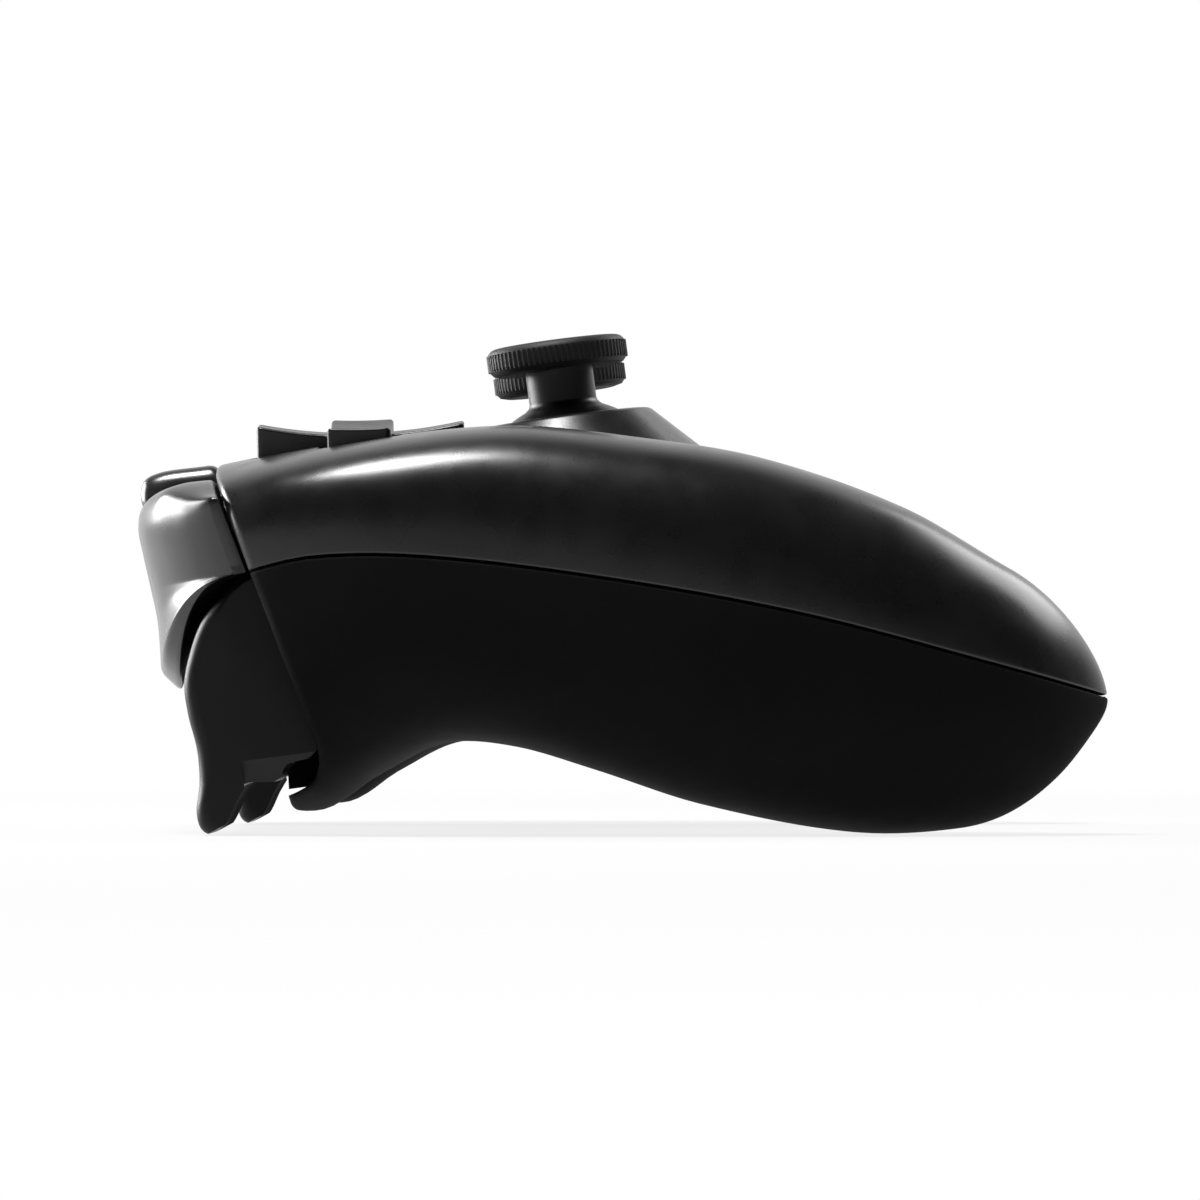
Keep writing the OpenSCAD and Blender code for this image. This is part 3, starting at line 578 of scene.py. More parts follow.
def laminate(name):
    """Circuit board: green lacquer over a pattern of tracks."""
    finish, tree, shader, place = new_finish(name)
    tracks = add(tree, "ShaderNodeTexBrick", {
        "Color1": (0.012, 0.085, 0.035, 1), "Color2": (0.016, 0.11, 0.045, 1), "Mortar": (0.03, 0.17, 0.07, 1),
        "Scale": 260.0, "Mortar Size": 0.03, "Vector": place})
    feed(tree, shader, {
        "Base Color": tracks.outputs["Color"],
        "Roughness": spread(tree, noise(tree, place, 400.0), 0.28, 0.4)})
    bumped(tree, shader, tracks.outputs["Fac"], 0.2, 0.00003)
    return finish


def foil(name):
    """Battery wrap: thin grey film with soft dents."""
    finish, tree, shader, place = new_finish(name)
    dents = noise(tree, place, 180.0, 3.0)
    feed(tree, shader, {
        "Base Color": two_tones(tree, dents, (0.30, 0.31, 0.33), (0.38, 0.39, 0.41)),
        "Roughness": spread(tree, dents, 0.25, 0.4),
        "Metallic": 0.6})
    bumped(tree, shader, dents, 0.3, 0.0002)
    return finish


def lens(name):
    """Milky light pipe."""
    finish, tree, shader, place = new_finish(name)
    cloud = noise(tree, place, 900.0)
    feed(tree, shader, {
        "Base Color": two_tones(tree, cloud, (0.52, 0.54, 0.56), (0.62, 0.64, 0.66)),
        "Roughness": spread(tree, cloud, 0.2, 0.3),
        "Subsurface Weight": 0.3,
        "Subsurface Scale": 0.001})
    bumped(tree, shader, cloud, 0.05, 0.00002)
    return finish


# Each finish with its tone, roughness, gloss and depth of grain, as far as its maker takes them
FINISHES = {name: maker(name, *values) for name, maker, *values in (
    ("shell_black", moulded, 0.006, 0.28, 0.5),
    ("back_black", moulded, 0.005, 0.72, 0.06),
    ("gloss_trim", moulded, 0.016, 0.26, 0.7, 0.02),
    ("bumper_black", moulded, 0.010, 0.25, 0.6, 0.08),
    ("trigger_black", moulded, 0.006, 0.42, 0.2),
    ("key_black", moulded, 0.005, 0.34, 0.4, 0.06),
    ("home_grey", moulded, 0.045, 0.30, 0.5, 0.05),
    ("inner_plastic", moulded, 0.008, 0.5, 0.2),
    ("stem_plastic", moulded, 0.005, 0.38, 0.4, 0.06),
    ("cap_rubber", rubber, 0.006, 0.55),
    ("membrane_rubber", rubber, 0.22, 0.6),
    ("steel", brushed, 0.55, 0.3),
    ("board_green", laminate),
    ("battery_foil", foil),
    ("light_pipe", lens))}


# Housing shells

def roof(p):
    """Height of the face over plan points: the top line, with a slight bulge across the front half."""
    rise = BULGE * smooth(-5, 15, p[:, 1]) * np.maximum(1 - (p[:, 0] / 60) ** 2, 0)
    return height(TOP_LINE, p[:, 1]) + rise


def base(p):
    """Height of the underside over plan points: a flat belly that passes over into the grips."""
    front = smooth(-10, 20, p[:, 1])
    grip = smooth(18 + 12 * front, 40 + 10 * front, p[:, 0])
    return (1 - grip) * -BELLY + grip * height(GRIP_LINE, p[:, 1])


def cut_at(z):
    """Forward place of the leaning cut at a height."""
    return CUT_Y + CUT_LEAN * np.asarray(z, float)


# Front edge of the lower shell as (forward, up): the lip, the mouth of the trigger pocket and the cut above it
POCKET = np.vstack([
    [(LIP_Y, UNDER), (LIP_Y, -21.2)],
    flow([(LIP_Y, -20.9), (38.4, -20.5), (36.4, -19.5), (35.4, -17.2), (35.5, -14.6)], 24),
    [(cut_at(-14.0), -14.0), (cut_at(OVER), OVER)]])


def ahead(points, side):
    """Signed distance of points in front of the shell's front edge."""
    y, z = points[:, 1], points[:, 2]
    if side > 0:
        return (y - cut_at(z)) / math.hypot(1, CUT_LEAN)
    near = np.full(len(points), np.inf)
    for a, b in zip(POCKET[:-1], POCKET[1:]):
        run = b - a
        t = np.clip(((y - a[0]) * run[0] + (z - a[1]) * run[1]) / (run @ run), 0, 1)
        near = np.minimum(near, np.hypot(y - a[0] - t * run[0], z - a[1] - t * run[1]))
    return np.where(y > np.interp(z, POCKET[:, 1], POCKET[:, 0]), near, -near)


def shell_strip(k, side, depth):
    """One strip of a shell's skin, from its waist edge over to its front or outer edge."""
    samples = 260
    rail = RAILS[depth]
    i, o = on_rail(rail, k), on_rail(rail, LAST - k)
    mid, half = (i + o) / 2, (o - i) / 2
    far = min(max((mid[1] + GRIP_REACH - depth) / (TOP_ROUND if side > 0 else BASE_ROUND), 0), 1)
    close = math.sqrt(max(1 - (1 - far) ** 2, 0))
    if depth:
        close = max(close, 0.05 * min(np.linalg.norm(half) / 2, 1))
    thin = float(smooth(2, 6, k))
    power = 4.5 - 2.5 * thin if side > 0 else 3.5 - 1.7 * thin
    knee = 0.5 ** (1 / power)
    rise = np.linspace(0, knee, samples)
    flat = np.linspace(-knee, knee, 2 * samples)[1:-1]
    side_w = (1 - rise ** power) ** (1 / power)
    w = np.concatenate([-side_w, flat, side_w[::-1]])
    crown = np.concatenate([rise, (1 - np.abs(flat) ** power) ** (1 / power), rise[::-1]])
    p = mid + w[:, None] * half
    seam = height(SEAM_LINE, p[:, 1]) + side * SEAM_GAP / 2
    goal = roof(p) - depth if side > 0 else base(p) + depth
    return np.column_stack([p, seam + (goal - seam) * crown * close])


def parting_edge(outer, inner):
    """The edge of a shell wall at the parting line, with the step of its tongue."""
    middle = outer + 0.5 * (inner - outer) * (1, 1, 0)
    return np.array([outer, middle, middle + (0, 0, inner[2] - outer[2]), inner])


def score(bm, side, level):
    """Splits the faces of a shell along the line that lies a distance behind its front edge."""
    bm.verts.index_update()
    value = ahead(np.array([v.co for v in bm.verts]), side) - level
    crossed = []
    for e in bm.edges:
        a, b = e.verts
        fa, fb = value[a.index], value[b.index]
        if (fa < 0) != (fb < 0):
            crossed.append((e, a, fa / (fa - fb)))
    points = [bmesh.utils.edge_split(e, a, t)[1] for e, a, t in crossed]
    bmesh.ops.connect_verts(bm, verts=points)
    bmesh.ops.triangulate(bm, faces=[f for f in bm.faces if len(f.verts) > 3])


def roll_front(bm, side, inwards):
    """Rounds the outer skin of a shell into its front edge; inwards holds each point's way into the wall."""
    for share in (1.0, 0.78, 0.56, 0.38, 0.22, 0.1, 0.03):
        score(bm, side, -share * FRONT_FILLET)
    verts = list(bm.verts)
    spots = np.array([v.co for v in verts])
    way = np.array([v[inwards] for v in verts])
    gap = ahead(spots, side)
    step = 0.02
    slope = np.zeros_like(spots)
    for j in (1, 2):
        shift = step * np.eye(3)[j]
        slope[:, j] = (ahead(spots + shift, side) - ahead(spots - shift, side)) / (2 * step)
    way -= np.sum(way * slope, axis=1)[:, None] * slope
    depth = np.clip(gap + FRONT_FILLET, 0, FRONT_FILLET)
    sink = (FRONT_FILLET - np.sqrt(FRONT_FILLET ** 2 - depth ** 2)) * (1 - smooth(0.3, 1.5, gap))
    for v, spot in zip(verts, spots + sink[:, None] * way):
        v.co = spot


# Points of a row around a shell's wall: on the outer skin, on each parting edge, on the inner skin
SKIN, EDGE, INSIDE = 96, 7, 40
ROUND_STEPS = 5
HALF_ROWS = 110


def shell_rows(side):
    """Rows of points around a shell's wall, from side to side, and the way of each point into the wall."""
    on_round = ROUND_STEPS - 1
    share = np.concatenate([
        np.ones(SKIN + on_round), np.linspace(1, 0, EDGE)[:-1], np.zeros(INSIDE - 1),
        np.linspace(0, 1, EDGE), np.ones(on_round)])
    rows, ways = [], []
    for k in LAST / 2 * np.sin(np.linspace(0, math.pi / 2, HALF_ROWS + 1)):
        outer, inner = shell_strip(k, side, 0.0), shell_strip(k, side, WALL)
        way = at_length(outer, np.linspace(0, lengths(outer)[-1], SKIN), inner - outer)
        way = np.vstack([
            way, np.repeat(way[-1:], on_round + EDGE - 1, 0), np.zeros((INSIDE - 1, 3)),
            np.repeat(way[:1], EDGE + on_round, 0)])
        ways.append(share[:, None] * way / np.maximum(np.linalg.norm(way, axis=1), 1e-6)[:, None])
        inner[[0, -1], 2] += TONGUE if side < 0 else 0
        rows.append(loop_of(
            [outer, parting_edge(outer[-1], inner[-1]), inner[::-1], parting_edge(outer[0], inner[0])[::-1]],
            [SKIN, EDGE, INSIDE, EDGE], [SEAM_FILLET, 0, 0, SEAM_FILLET], ROUND_STEPS))
    flip = np.array([-1, 1, 1])
    return [np.vstack([half[:0:-1] * flip, half]) for half in (np.array(rows), np.array(ways))]


def shell(name, side):
    """A moulded shell as one loft, cut off at the front with a rounded edge."""
    rows, ways = shell_rows(side)
    bm = bmesh.new()
    inwards = bm.verts.layers.float_vector.new("inwards")
    verts = [bm.verts.new(p) for p in rows.reshape(-1, 3)]
    for v, way in zip(verts, ways.reshape(-1, 3)):
        v[inwards] = way
    for f in loft_faces(*rows.shape[:2], False):
        bm.faces.new([verts[i] for i in f])
    tidy_up(bm)
    roll_front(bm, side, inwards)
    edge = POCKET if side < 0 else [(cut_at(z), z) for z in (UNDER, OVER)]
    return carve(placed(name, bm), [across([*edge, (FAR, OVER), (FAR, UNDER)], -FAR, FAR)])


upper = shell("upper_shell", 1)
lower = shell("lower_shell", -1)
FACE_TREE = BVHTree.FromObject(upper, bpy.context.evaluated_depsgraph_get())
TABLE_DOWN = Vector((0, -math.sin(FACE_TILT), -math.cos(FACE_TILT)))


def face_height(x, y):
    """Height of the upper shell over a plan point of the level pad."""
    above = 60.0
    hit = FACE_TREE.ray_cast(Vector(to_table([(x, y, above)])[0]), TABLE_DOWN)
    return above - hit[3] * 1000 if hit[0] is not None else FACE_H


def ring_of(radius, count=72):
    turns = np.linspace(0, 2 * math.pi, count, endpoint=False)
    return radius * np.column_stack([np.cos(turns), np.sin(turns)])


def oval_of(half_length, radius, count=18):
    end = arc((half_length - radius, 0), radius, np.linspace(-90, 90, count))
    return np.vstack([end, -end])


def plus_of(span, arm, outer_round, inner_round, steps=6):
    """Outline of a plus with rounded tips and rounded inner corners, anticlockwise."""
    l, a = span / 2, arm / 2
    corners = [(l, -a), (l, a), (a, a), (a, l), (-a, l), (-a, a)]
    corners += [(-x, -y) for x, y in corners]
    rounds = [outer_round, outer_round, inner_round] * 4
    n = len(corners)
    runs = [np.array([corners[i], corners[(i + 1) % n]]) for i in range(n)]
    return loop_of(runs, [8] * n, [rounds[(i + 1) % n] for i in range(n)], steps)


def opening(outline, centre, rim):
    """A tool for a hole through the face with a rounded rim; outline(out) is the widened hole."""
    flare = 0.8
    rows = []

    def row(out, lift=None, level=None):
        ring = outline(out) + np.asarray(centre)
        z = [level if level is not None else face_height(x, y) + lift for x, y in ring]
        rows.append(np.column_stack([ring, z]))
    row(0.0, level=0.0)
    for a in np.radians([0, 18, 36, 54, 72]):
        row(rim * (1 - math.cos(a)), lift=-rim * (1 - math.sin(a)))
    wide = rim * (1 - math.cos(a)) + flare * math.sin(a)
    row(wide, lift=-rim * (1 - math.sin(a)) + flare * math.cos(a))
    row(wide, level=OVER)
    return loft("opening", rows)


def collar(side):
    """Raised ring around a stick, with a rounded brow and a sloping flank."""
    foot, brow = 13.4, 1.1
    edge = arc((WELL_R + 1.05, COLLAR_TOP - brow), brow, np.linspace(45, 90, 7))
    reach = sum(edge[0]) - foot
    outline = [(0, foot), (reach, foot), *edge, (0, COLLAR_TOP)]
    return turned("collar", outline, (side * STICK_X, STICK_Y, 0.0), 112)


def socket(side):
    """Rounded hollow that a stick's skirt moves in, with a rounded mouth."""
    ball, mouth, clear = SKIRT_R + SKIRT_GAP, 0.45, 30.0
    meet = 90 - math.degrees(math.asin(WELL_R / ball))
    bowl = arc((0, 0), ball, np.linspace(-90, meet, 40))
    lip = arc((WELL_R + mouth, COLLAR_TOP - PIVOT_Z - mouth), mouth, np.linspace(180, 108, 5))
    out = lip[-1, 0] + 1.6
    outline = [*bowl, *lip, (out, lip[-1, 1] + 0.55), (out, clear), (0.0, clear)]
    return turned("socket", outline, (side * STICK_X, STICK_Y, PIVOT_Z), 112)


def leaned(points):
    """Points of the direction pad's own frame, leaned about its ball towards the player and the outside."""
    p = np.asarray(points, float)
    c, s = math.cos(PAD_LEAN), math.sin(PAD_LEAN)
    y = p[:, 1] * c - p[:, 2] * s
    z = p[:, 1] * s + p[:, 2] * c
    c, s = math.cos(PAD_ROLL), math.sin(PAD_ROLL)
    x, z = p[:, 0] * c - z * s, p[:, 0] * s + z * c
    return np.column_stack([x - CLUSTER_X, y + PAD_Y, z + PAD_BALL_Z])


def button_at(angle):
    a = math.radians(angle)
    return CLUSTER_X + BUTTON_RING * math.cos(a), BUTTON_Y + BUTTON_RING * math.sin(a)


def round_hole(radius, centre, rim, count=72):
    return opening(lambda out: ring_of(radius + out, count), centre, rim)


def oval_hole(side):
    def widened(out):
        return oval_of(OVAL_L / 2 + BUTTON_GAP + out, OVAL_R + BUTTON_GAP + out)
    return opening(widened, (side * OVAL_X, OVAL_Y), rim=0.25)


def plus_hole():
    def widened(out):
        room = 2 * (PAD_GAP + out)
        return plus_of(PAD_SPAN + room, PAD_ARM + room, 1.4 + out, max(0.6 - 0.5 * out, 0.1))
    face_point = (0, 0, 7.4)
    return opening(widened, leaned([face_point])[0, :2], rim=0.4)


def make_upper_shell():
    carve(upper, [collar(-1), collar(1)], "UNION")
    holes = [round_hole(BUTTON_R + BUTTON_GAP, button_at(angle), rim=0.35) for angle in (0, 90, 180, 270)]
    holes += [round_hole(HOME_R + BUTTON_GAP, (0.0, HOME_Y), rim=0.3), oval_hole(-1), oval_hole(1)]
    holes += [round_hole(LIGHT_R + 0.1, (x, LIGHT_Y), rim=0.12, count=32) for x in LIGHT_X]
    holes.append(plus_hole())
    carve(upper, [socket(-1), socket(1)])
    carve(upper, holes)
    finish_piece(upper, "upper_shell", "housing", "shell_black", ["front_shell"])


# Inside of the trigger pocket as (forward, up): the wall beside the trigger and the relief behind it
POCKET_WALL = [(28, -16), (28, -9), (38.2, -9), (39.6, -13), (40.2, -20.2), (36, -20.2), (34.4, -17.8)]
POCKET_FLOOR = [(31.8, -9), (31.8, -15.9), (32.6, -16.6), (36.2, -18.2), (38, -9)]
BOSS_R = 3.4
HEAD_WELL_R = 2.6


def make_lower_shell():
    bosses, bores = [], []
    for s in (-1, 1):
        for x, y, foot, seat, split in SCREWS:
            bosses.append(rod((s * x, y, foot + 0.9), (s * x, y, split), BOSS_R, 40))
            bores.append(rod((s * x, y, UNDER), (s * x, y, seat), HEAD_WELL_R, 40))
    bosses += both_sides(POCKET_WALL, TRIGGER_IN - 2.2, TRIGGER_IN - 0.6)
    carve(lower, both_sides(POCKET_FLOOR, TRIGGER_IN - 0.4, TRIGGER_OUT + 0.4))
    carve(lower, bosses, "UNION")
    carve(lower, bores)
    finish_piece(lower, "lower_shell", "housing", "back_black", ["back_shell"])


# Front trim

BRIDGE_LINE = [
    (45.5, TRIM_H), (51.5, TRIM_H - 0.1), (53.3, TRIM_H - 0.8), (54, TRIM_H - 2.6), (53.7, 14.5),
    (52.8, 4), (52.2, -2.5), (50.5, -6.5), (46, -10.5), (41.5, -BELLY)]
SKIRT_LINE = [(42.4, 3), (45.4, 0.4), (47.2, -3.4), (46.8, -7), (44.4, -11.5), (41.5, -BELLY)]


def trim_outline(line, count, depth=0.0):
    """Closed side outline of a trim cap: a smooth front and a flat back along the shells' edge."""
    front = flow(line, 160)
    back_top, back_low = ((cut_at(z) + SEAM_GAP, z) for z in (front[0, 1], front[-1, 1]))
    runs = [np.vstack([back_top, front]), [front[-1], back_low], [back_low, back_top]]
    loop = loop_of(runs, [count, 6, 10], [0.9, 1.8, 1.2], 7)
    return inward(anticlockwise(loop), depth)


def rounded_ends(drawn_in, x0, x1, fillet, steps=6):
    """Rows of a side outline across the pad with both ends rounded off; drawn_in(depth) is the outline at an end."""
    ends = [(fillet * (1 - math.cos(a)), fillet * (1 - math.sin(a))) for a in np.linspace(0, math.pi / 2, steps)]
    rows = [at_x(drawn_in(depth), x0 + x) for x, depth in ends]
    return rows + [at_x(drawn_in(depth), x1 - x) for x, depth in ends[::-1]]


PORT_BACK, PORT_FACE = 46.0, 52.9
CAP_ROUND = 2.3
CHEEK_ROUND = 0.45
CHEEK_LAP = 0.8


def port(outline, flare):
    """A tool for an opening in the front trim, with a rounded mouth; outline is (across, up) about its middle."""
    outline = anticlockwise(np.asarray(outline, float))
    mouth = [(PORT_BACK, 0.0), (PORT_FACE - flare, 0.0), (PORT_FACE - 0.6 * flare, 0.1 * flare),
             (PORT_FACE - 0.2 * flare, 0.45 * flare), (PORT_FACE, flare), (PORT_FACE + 4, flare + 1.0)]
    rows = []
    for y, out in mouth:
        ring = inward(outline, -out)
        rows.append(np.column_stack([ring[:, 0], np.full(len(ring), y), ring[:, 1]]))
    return loft("port", rows)


def make_front_trim():
    cap = trim_outline(BRIDGE_LINE, 90)

    def cap_row(depth):
        top, front = smooth(9, TRIM_H, cap[:, 1]), smooth(45, 53, cap[:, 0])
        return cap - depth * np.column_stack([0.8 * front, top])

    def cheek_row(depth):
        return trim_outline(SKIRT_LINE, 60, depth + 0.03)
    trim = loft("front_trim", rounded_ends(cap_row, -BRIDGE_IN, BRIDGE_IN, CAP_ROUND, 11))
    lap = BRIDGE_IN - CHEEK_LAP
    spans = ((-BRIDGE_WIDE, -lap), (lap, BRIDGE_WIDE))
    cheeks = [loft("cheek", rounded_ends(cheek_row, x0, x1, CHEEK_ROUND)) for x0, x1 in spans]
    carve(trim, cheeks, "UNION")
    hollow = inward(anticlockwise(flow(BRIDGE_LINE, 120)), WALL)
    hollow = hollow[(hollow[:, 1] < TRIM_H - WALL) & (hollow[:, 1] > 1.5 - BELLY + WALL)][2:-2]
    hollow = [*hollow, (30, hollow[-1, 1]), (30, hollow[0, 1])]
    carve(trim, [across(hollow, WALL - BRIDGE_IN, BRIDGE_IN - WALL)])
    charging = port(oval_of(4.8, 1.9) + (0, USB_Z), 0.35)
    slide = port(oval_of(2.75, 1.35) + (SLIDE_X, USB_Z), 0.3)
    pairing = port(ring_of(1.75, 40) + (PAIRING_X, USB_Z), 0.25)
    carve(trim, [charging, slide, pairing])
    bearing = HINGE_R + 0.07
    carve(trim, [rod((s * (BRIDGE_IN - WALL - 1), *HINGE), (s * (BRIDGE_IN + 1), *HINGE), bearing) for s in (-1, 1)])
    finish_piece(trim, "front_trim", "housing", "gloss_trim", ["front_bridge"])


# Bumpers

BUMPER_FRONT = np.array([(28, 53.9), (40, 53.4), (50, 52.2), (57, 49.9), (62, 47), (65, 44.3), (66.3, 42.6)])
BUMPER_FACE = [
    (43.6, BUMPER_H), (48.6, BUMPER_H), (51.6, BUMPER_H - 0.6), (53.2, BUMPER_H - 1.9), (53.8, BUMPER_H - 4),
    (53.6, 9.6), (53.2, 5.5), (52.9, 1.8), (53, -1.5), (53.2, -4.4)]
BUMPER_UNDER = [(51.2, -6.9), (49.9, -3.6), (47.1, 0.95), (43.6, 4.6), (40.7, 5.4)]
BUMPER_HOLLOW = [
    (30, 6.3), (48.6, 6.3), (49.6, 8.5), (49.8, 11.5), (49, 14), (48, BUMPER_H - WALL), (30, BUMPER_H - WALL)]
OUTER_HOLLOW = [(30, 6.2), (46.6, 6.2), (47, 8), (47, 13), (46, 14.05), (30, 14.05)]
OUTER_BAR = (53.8, 58.0)
SWITCH_RIB = (34, 38, 43.4, 50.2, 10.6, 12.6)
SHOULDER = 5.4
THIN_FROM = 41.0
FULL_DEPTH = 12.2
TOP_FALL = 2.4


def bumper_outline():
    face, under = flow(BUMPER_FACE, 200), flow(BUMPER_UNDER, 120)
    runs = [face, [face[-1], under[0]], under, [under[-1], face[0]]]
    return anticlockwise(loop_of(runs, [64, 6, 40, 16], [0.9, 0.8, 0.7, 0.8]))


BUMPER_LOOP = bumper_outline()


def bumper_row(x, depth):
    """Section of a bumper at x: it thins towards its outer end and keeps to the shells' front edge."""
    thin = (float(height(BUMPER_FRONT, x)) - THIN_FROM) / FULL_DEPTH
    drop = min(thin ** 2.5, 1)
    top = BUMPER_H - TOP_FALL * float(smooth(56, 67, x))
    p = inward(BUMPER_LOOP, depth)
    z = np.where(p[:, 1] > SHOULDER, SHOULDER + (p[:, 1] - SHOULDER) * (top - SHOULDER) / (BUMPER_H - SHOULDER),
                 SHOULDER + (p[:, 1] - SHOULDER) * drop)
    back = SEAM_GAP + 0.1
    y = cut_at(z) + back + np.maximum(p[:, 0] - cut_at(p[:, 1]) - back, 0) * thin
    return np.column_stack([y, z])


def make_bumpers():
    inner_end = [(0.0, 0.45), (0.05, 0.3), (0.15, 0.14), (0.3, 0.04), (0.45, 0.0)]
    outer_end = [(0.45, 0.03), (0.18, 0.12), (0.04, 0.3), (0.0, 0.5)]
    stations = [(BUMPER_IN + x, depth) for x, depth in inner_end]
    stations += [(x, 0.0) for x in np.linspace(BUMPER_IN + 1.5, BUMPER_OUT - 0.8, 56)]
    stations += [(BUMPER_OUT - x, depth) for x, depth in outer_end]
    bumper = loft("right_bumper_cap", [at_x(bumper_row(x, depth), x) for x, depth in stations])
    carve(bumper, [across(BUMPER_HOLLOW, BUMPER_IN + WALL, 52)])
    carve(bumper, [across(OUTER_HOLLOW, 51, 57.5)])
    inner_bar = rod((BRIDGE_IN - WALL, *HINGE), (BUMPER_IN + WALL / 2, *HINGE), HINGE_R)
    outer_bar = rod(*[(x, *HINGE) for x in OUTER_BAR], HINGE_R)
    carve(bumper, [inner_bar, outer_bar, block(*SWITCH_RIB)], "UNION")
    finish_pair(bumper, "bumper", "bumper_black")


# Triggers

TRIGGER_LINE = [
    (33.6, 0.5), (34.4, 3.6), (36.8, 4.9), (42, 4.2), (46.6, 0.9), (49.1, -3.8), (49.9, -6.6), (49.9, -10),
    (49.4, -14.2), (49.6, -18), (50.4, 2.6 - TRIGGER_DROP), (50.1, 0.7 - TRIGGER_DROP), (TRIGGER_TIP, -TRIGGER_DROP),
    (47, 3 - TRIGGER_DROP), (45.3, 4.9 - TRIGGER_DROP), (44, -18.8), (40.6, -18.9), (39.2, -17.2), (36.2, -16.5),
    (34.6, -8)]
TRIGGER_HOLLOW = [(20, 2.6), (41, 2.2), (44.6, -0.4), (46.6, -4.4), (47, -7), (46.6, -12), (46.4, -14.6), (20, -14.8)]
TOP_SLOT = [(20, 0), (20, 30), (40, 30), (40, 0)]
TRIGGER_ROUND = 1.9
TRIGGER_LOOP = flow(TRIGGER_LINE, 150, closed=True)


def trigger_row(depth):
    """Side outline of a trigger drawn in by a depth, most of it at the finger face."""
    y, z = TRIGGER_LOOP.T
    front, low = smooth(41, 47, y), smooth(-17, -21, z)
    return np.column_stack([y - depth * (0.2 + 0.8 * front), z + 0.4 * depth * low])


def make_triggers():
    steps = 9
    ends = rounded_ends(lambda depth: trigger_row(0.9 * depth), TRIGGER_IN, TRIGGER_OUT, TRIGGER_ROUND, steps)
    margin = TRIGGER_ROUND + 1
    middle = [at_x(TRIGGER_LOOP, x) for x in np.linspace(TRIGGER_IN + margin, TRIGGER_OUT - margin, 12)]
    trigger = loft("right_trigger_cap", ends[:steps] + middle + ends[steps:])
    for hollow in (TRIGGER_HOLLOW, TOP_SLOT):
        carve(trigger, [across(hollow, TRIGGER_IN + WALL, TRIGGER_OUT - WALL)])
    carve(trigger, [rod((30, *PIN), (80, *PIN), PIN_BORE)])
    edge = [(TRIGGER_OUT - 3.2, -19.3), (TRIGGER_OUT + 1, -19.3), (TRIGGER_OUT + 1, -15.2), (TRIGGER_OUT, -16.2)]
    carve(trigger, [loft("lower_edge", [[(x, y, z) for x, z in edge] for y in (32.4, 44.4)])])
    finish_pair(trigger, "trigger", "trigger_black")


# Direction pad and keys

def make_direction_pad():
    dish, brim, tip, inner = 59.0, 0.35, 0.7, 0.4

    def dished(ring, sunk):
        z = PAD_TOP - PAD_BALL_Z + dish - np.sqrt(dish ** 2 - np.sum(ring ** 2, axis=1)) - sunk
        return leaned(np.column_stack([ring, z]))
    rows = [leaned(at_z(plus_of(PAD_SPAN, PAD_ARM, tip, inner), 2.4))]
    for a in np.radians([0, 22, 45, 67, 90]):
        cut = brim * (1 - math.cos(a))
        ring = plus_of(PAD_SPAN - 2 * cut, PAD_ARM - 2 * cut, tip - cut, inner + cut)
        rows.append(dished(ring, brim * (1 - math.sin(a))))
    for cut in (1.0, 1.7, 2.4, 3.0, 3.45):
        ring = plus_of(PAD_SPAN - 2 * cut, PAD_ARM - 2 * cut, max(tip - cut, 0.05), inner + cut * 0.5)
        rows.append(dished(ring, 0.0))
    pad = loft("direction_pad", rows)
    disc = [(0, 0), (9.6, 0), (9.8, 0.2), (9.8, 2.2), (9.6, 2.4), (0, 2.4)]
    carve(pad, [turned("disc", disc, (*PAD_CENTRE, KEY_Z))], "UNION")
    hollow = arc((0, 0), 2.27, np.linspace(-90, 90, 24))
    carve(pad, [turned("ball", hollow, (*PAD_CENTRE, PAD_BALL_Z), 48)])
    finish_piece(pad, "direction_pad", "dpad", "key_black", ["dpad"])


def key_outline(radius, top, dome):
    """Half section of a round key: stem, flange, wall, rounded edge and domed top."""
    brim, stem, under = 0.5, 2.6, FLANGE_Z - 1
    edge = arc((radius - brim, top - dome - brim), brim, [0, 20, 40, 60, 78])
    crown = [(radius * t, top - dome * t * t) for t in np.linspace(0.88, 0, 10)]
    return [(0, KEY_Z), (stem, KEY_Z), (stem, under), (radius + FLANGE, under), (radius + FLANGE, FLANGE_Z),
            (radius, FLANGE_Z), *edge, *crown]


def oval_rows(top):
    """How far out and how high the rows of an oval key are: flange, wall, rounded edge and top."""
    rows = [(FLANGE, FLANGE_Z - 0.5), (FLANGE, FLANGE_Z + 0.6), (0.0, FLANGE_Z + 0.6)]
    rows += [tuple(p) for p in arc((-0.4, top - 0.5), 0.4, [0, 22, 45, 67, 85])]
    return rows + [(-1.0, top - 0.03), (-1.6, top)]


def make_keys():
    for name, angle in (("north", 90), ("south", 270), ("east", 0), ("west", 180)):
        key = turned("key", key_outline(BUTTON_R, BUTTON_TOP, 0.7), (*button_at(angle), 0.0))
        node = "button_" + name
        finish_piece(key, name + "_key_cap", node, "key_black", [node])
    home = turned("home", key_outline(HOME_R, FACE_H + BULGE + 0.6, 0.4), (0.0, HOME_Y, 0.0))
    finish_piece(home, "home_key_cap", "home_button", "home_grey", ["home_button"])
    for s, name in ((-1, "back"), (1, "start")):
        centre = (s * OVAL_X, OVAL_Y)
        rows = oval_rows(FACE_H + BULGE + 0.5)
        key = loft("oval", [at_z(oval_of(OVAL_L / 2 + out, OVAL_R + out) + centre, z) for out, z in rows])
        carve(key, [rod((*centre, KEY_Z), (*centre, FLANGE_Z), 2.0)], "UNION")
        node = name + "_button"
        finish_piece(key, name + "_key_cap", node, "key_black", [node])


# Sticks

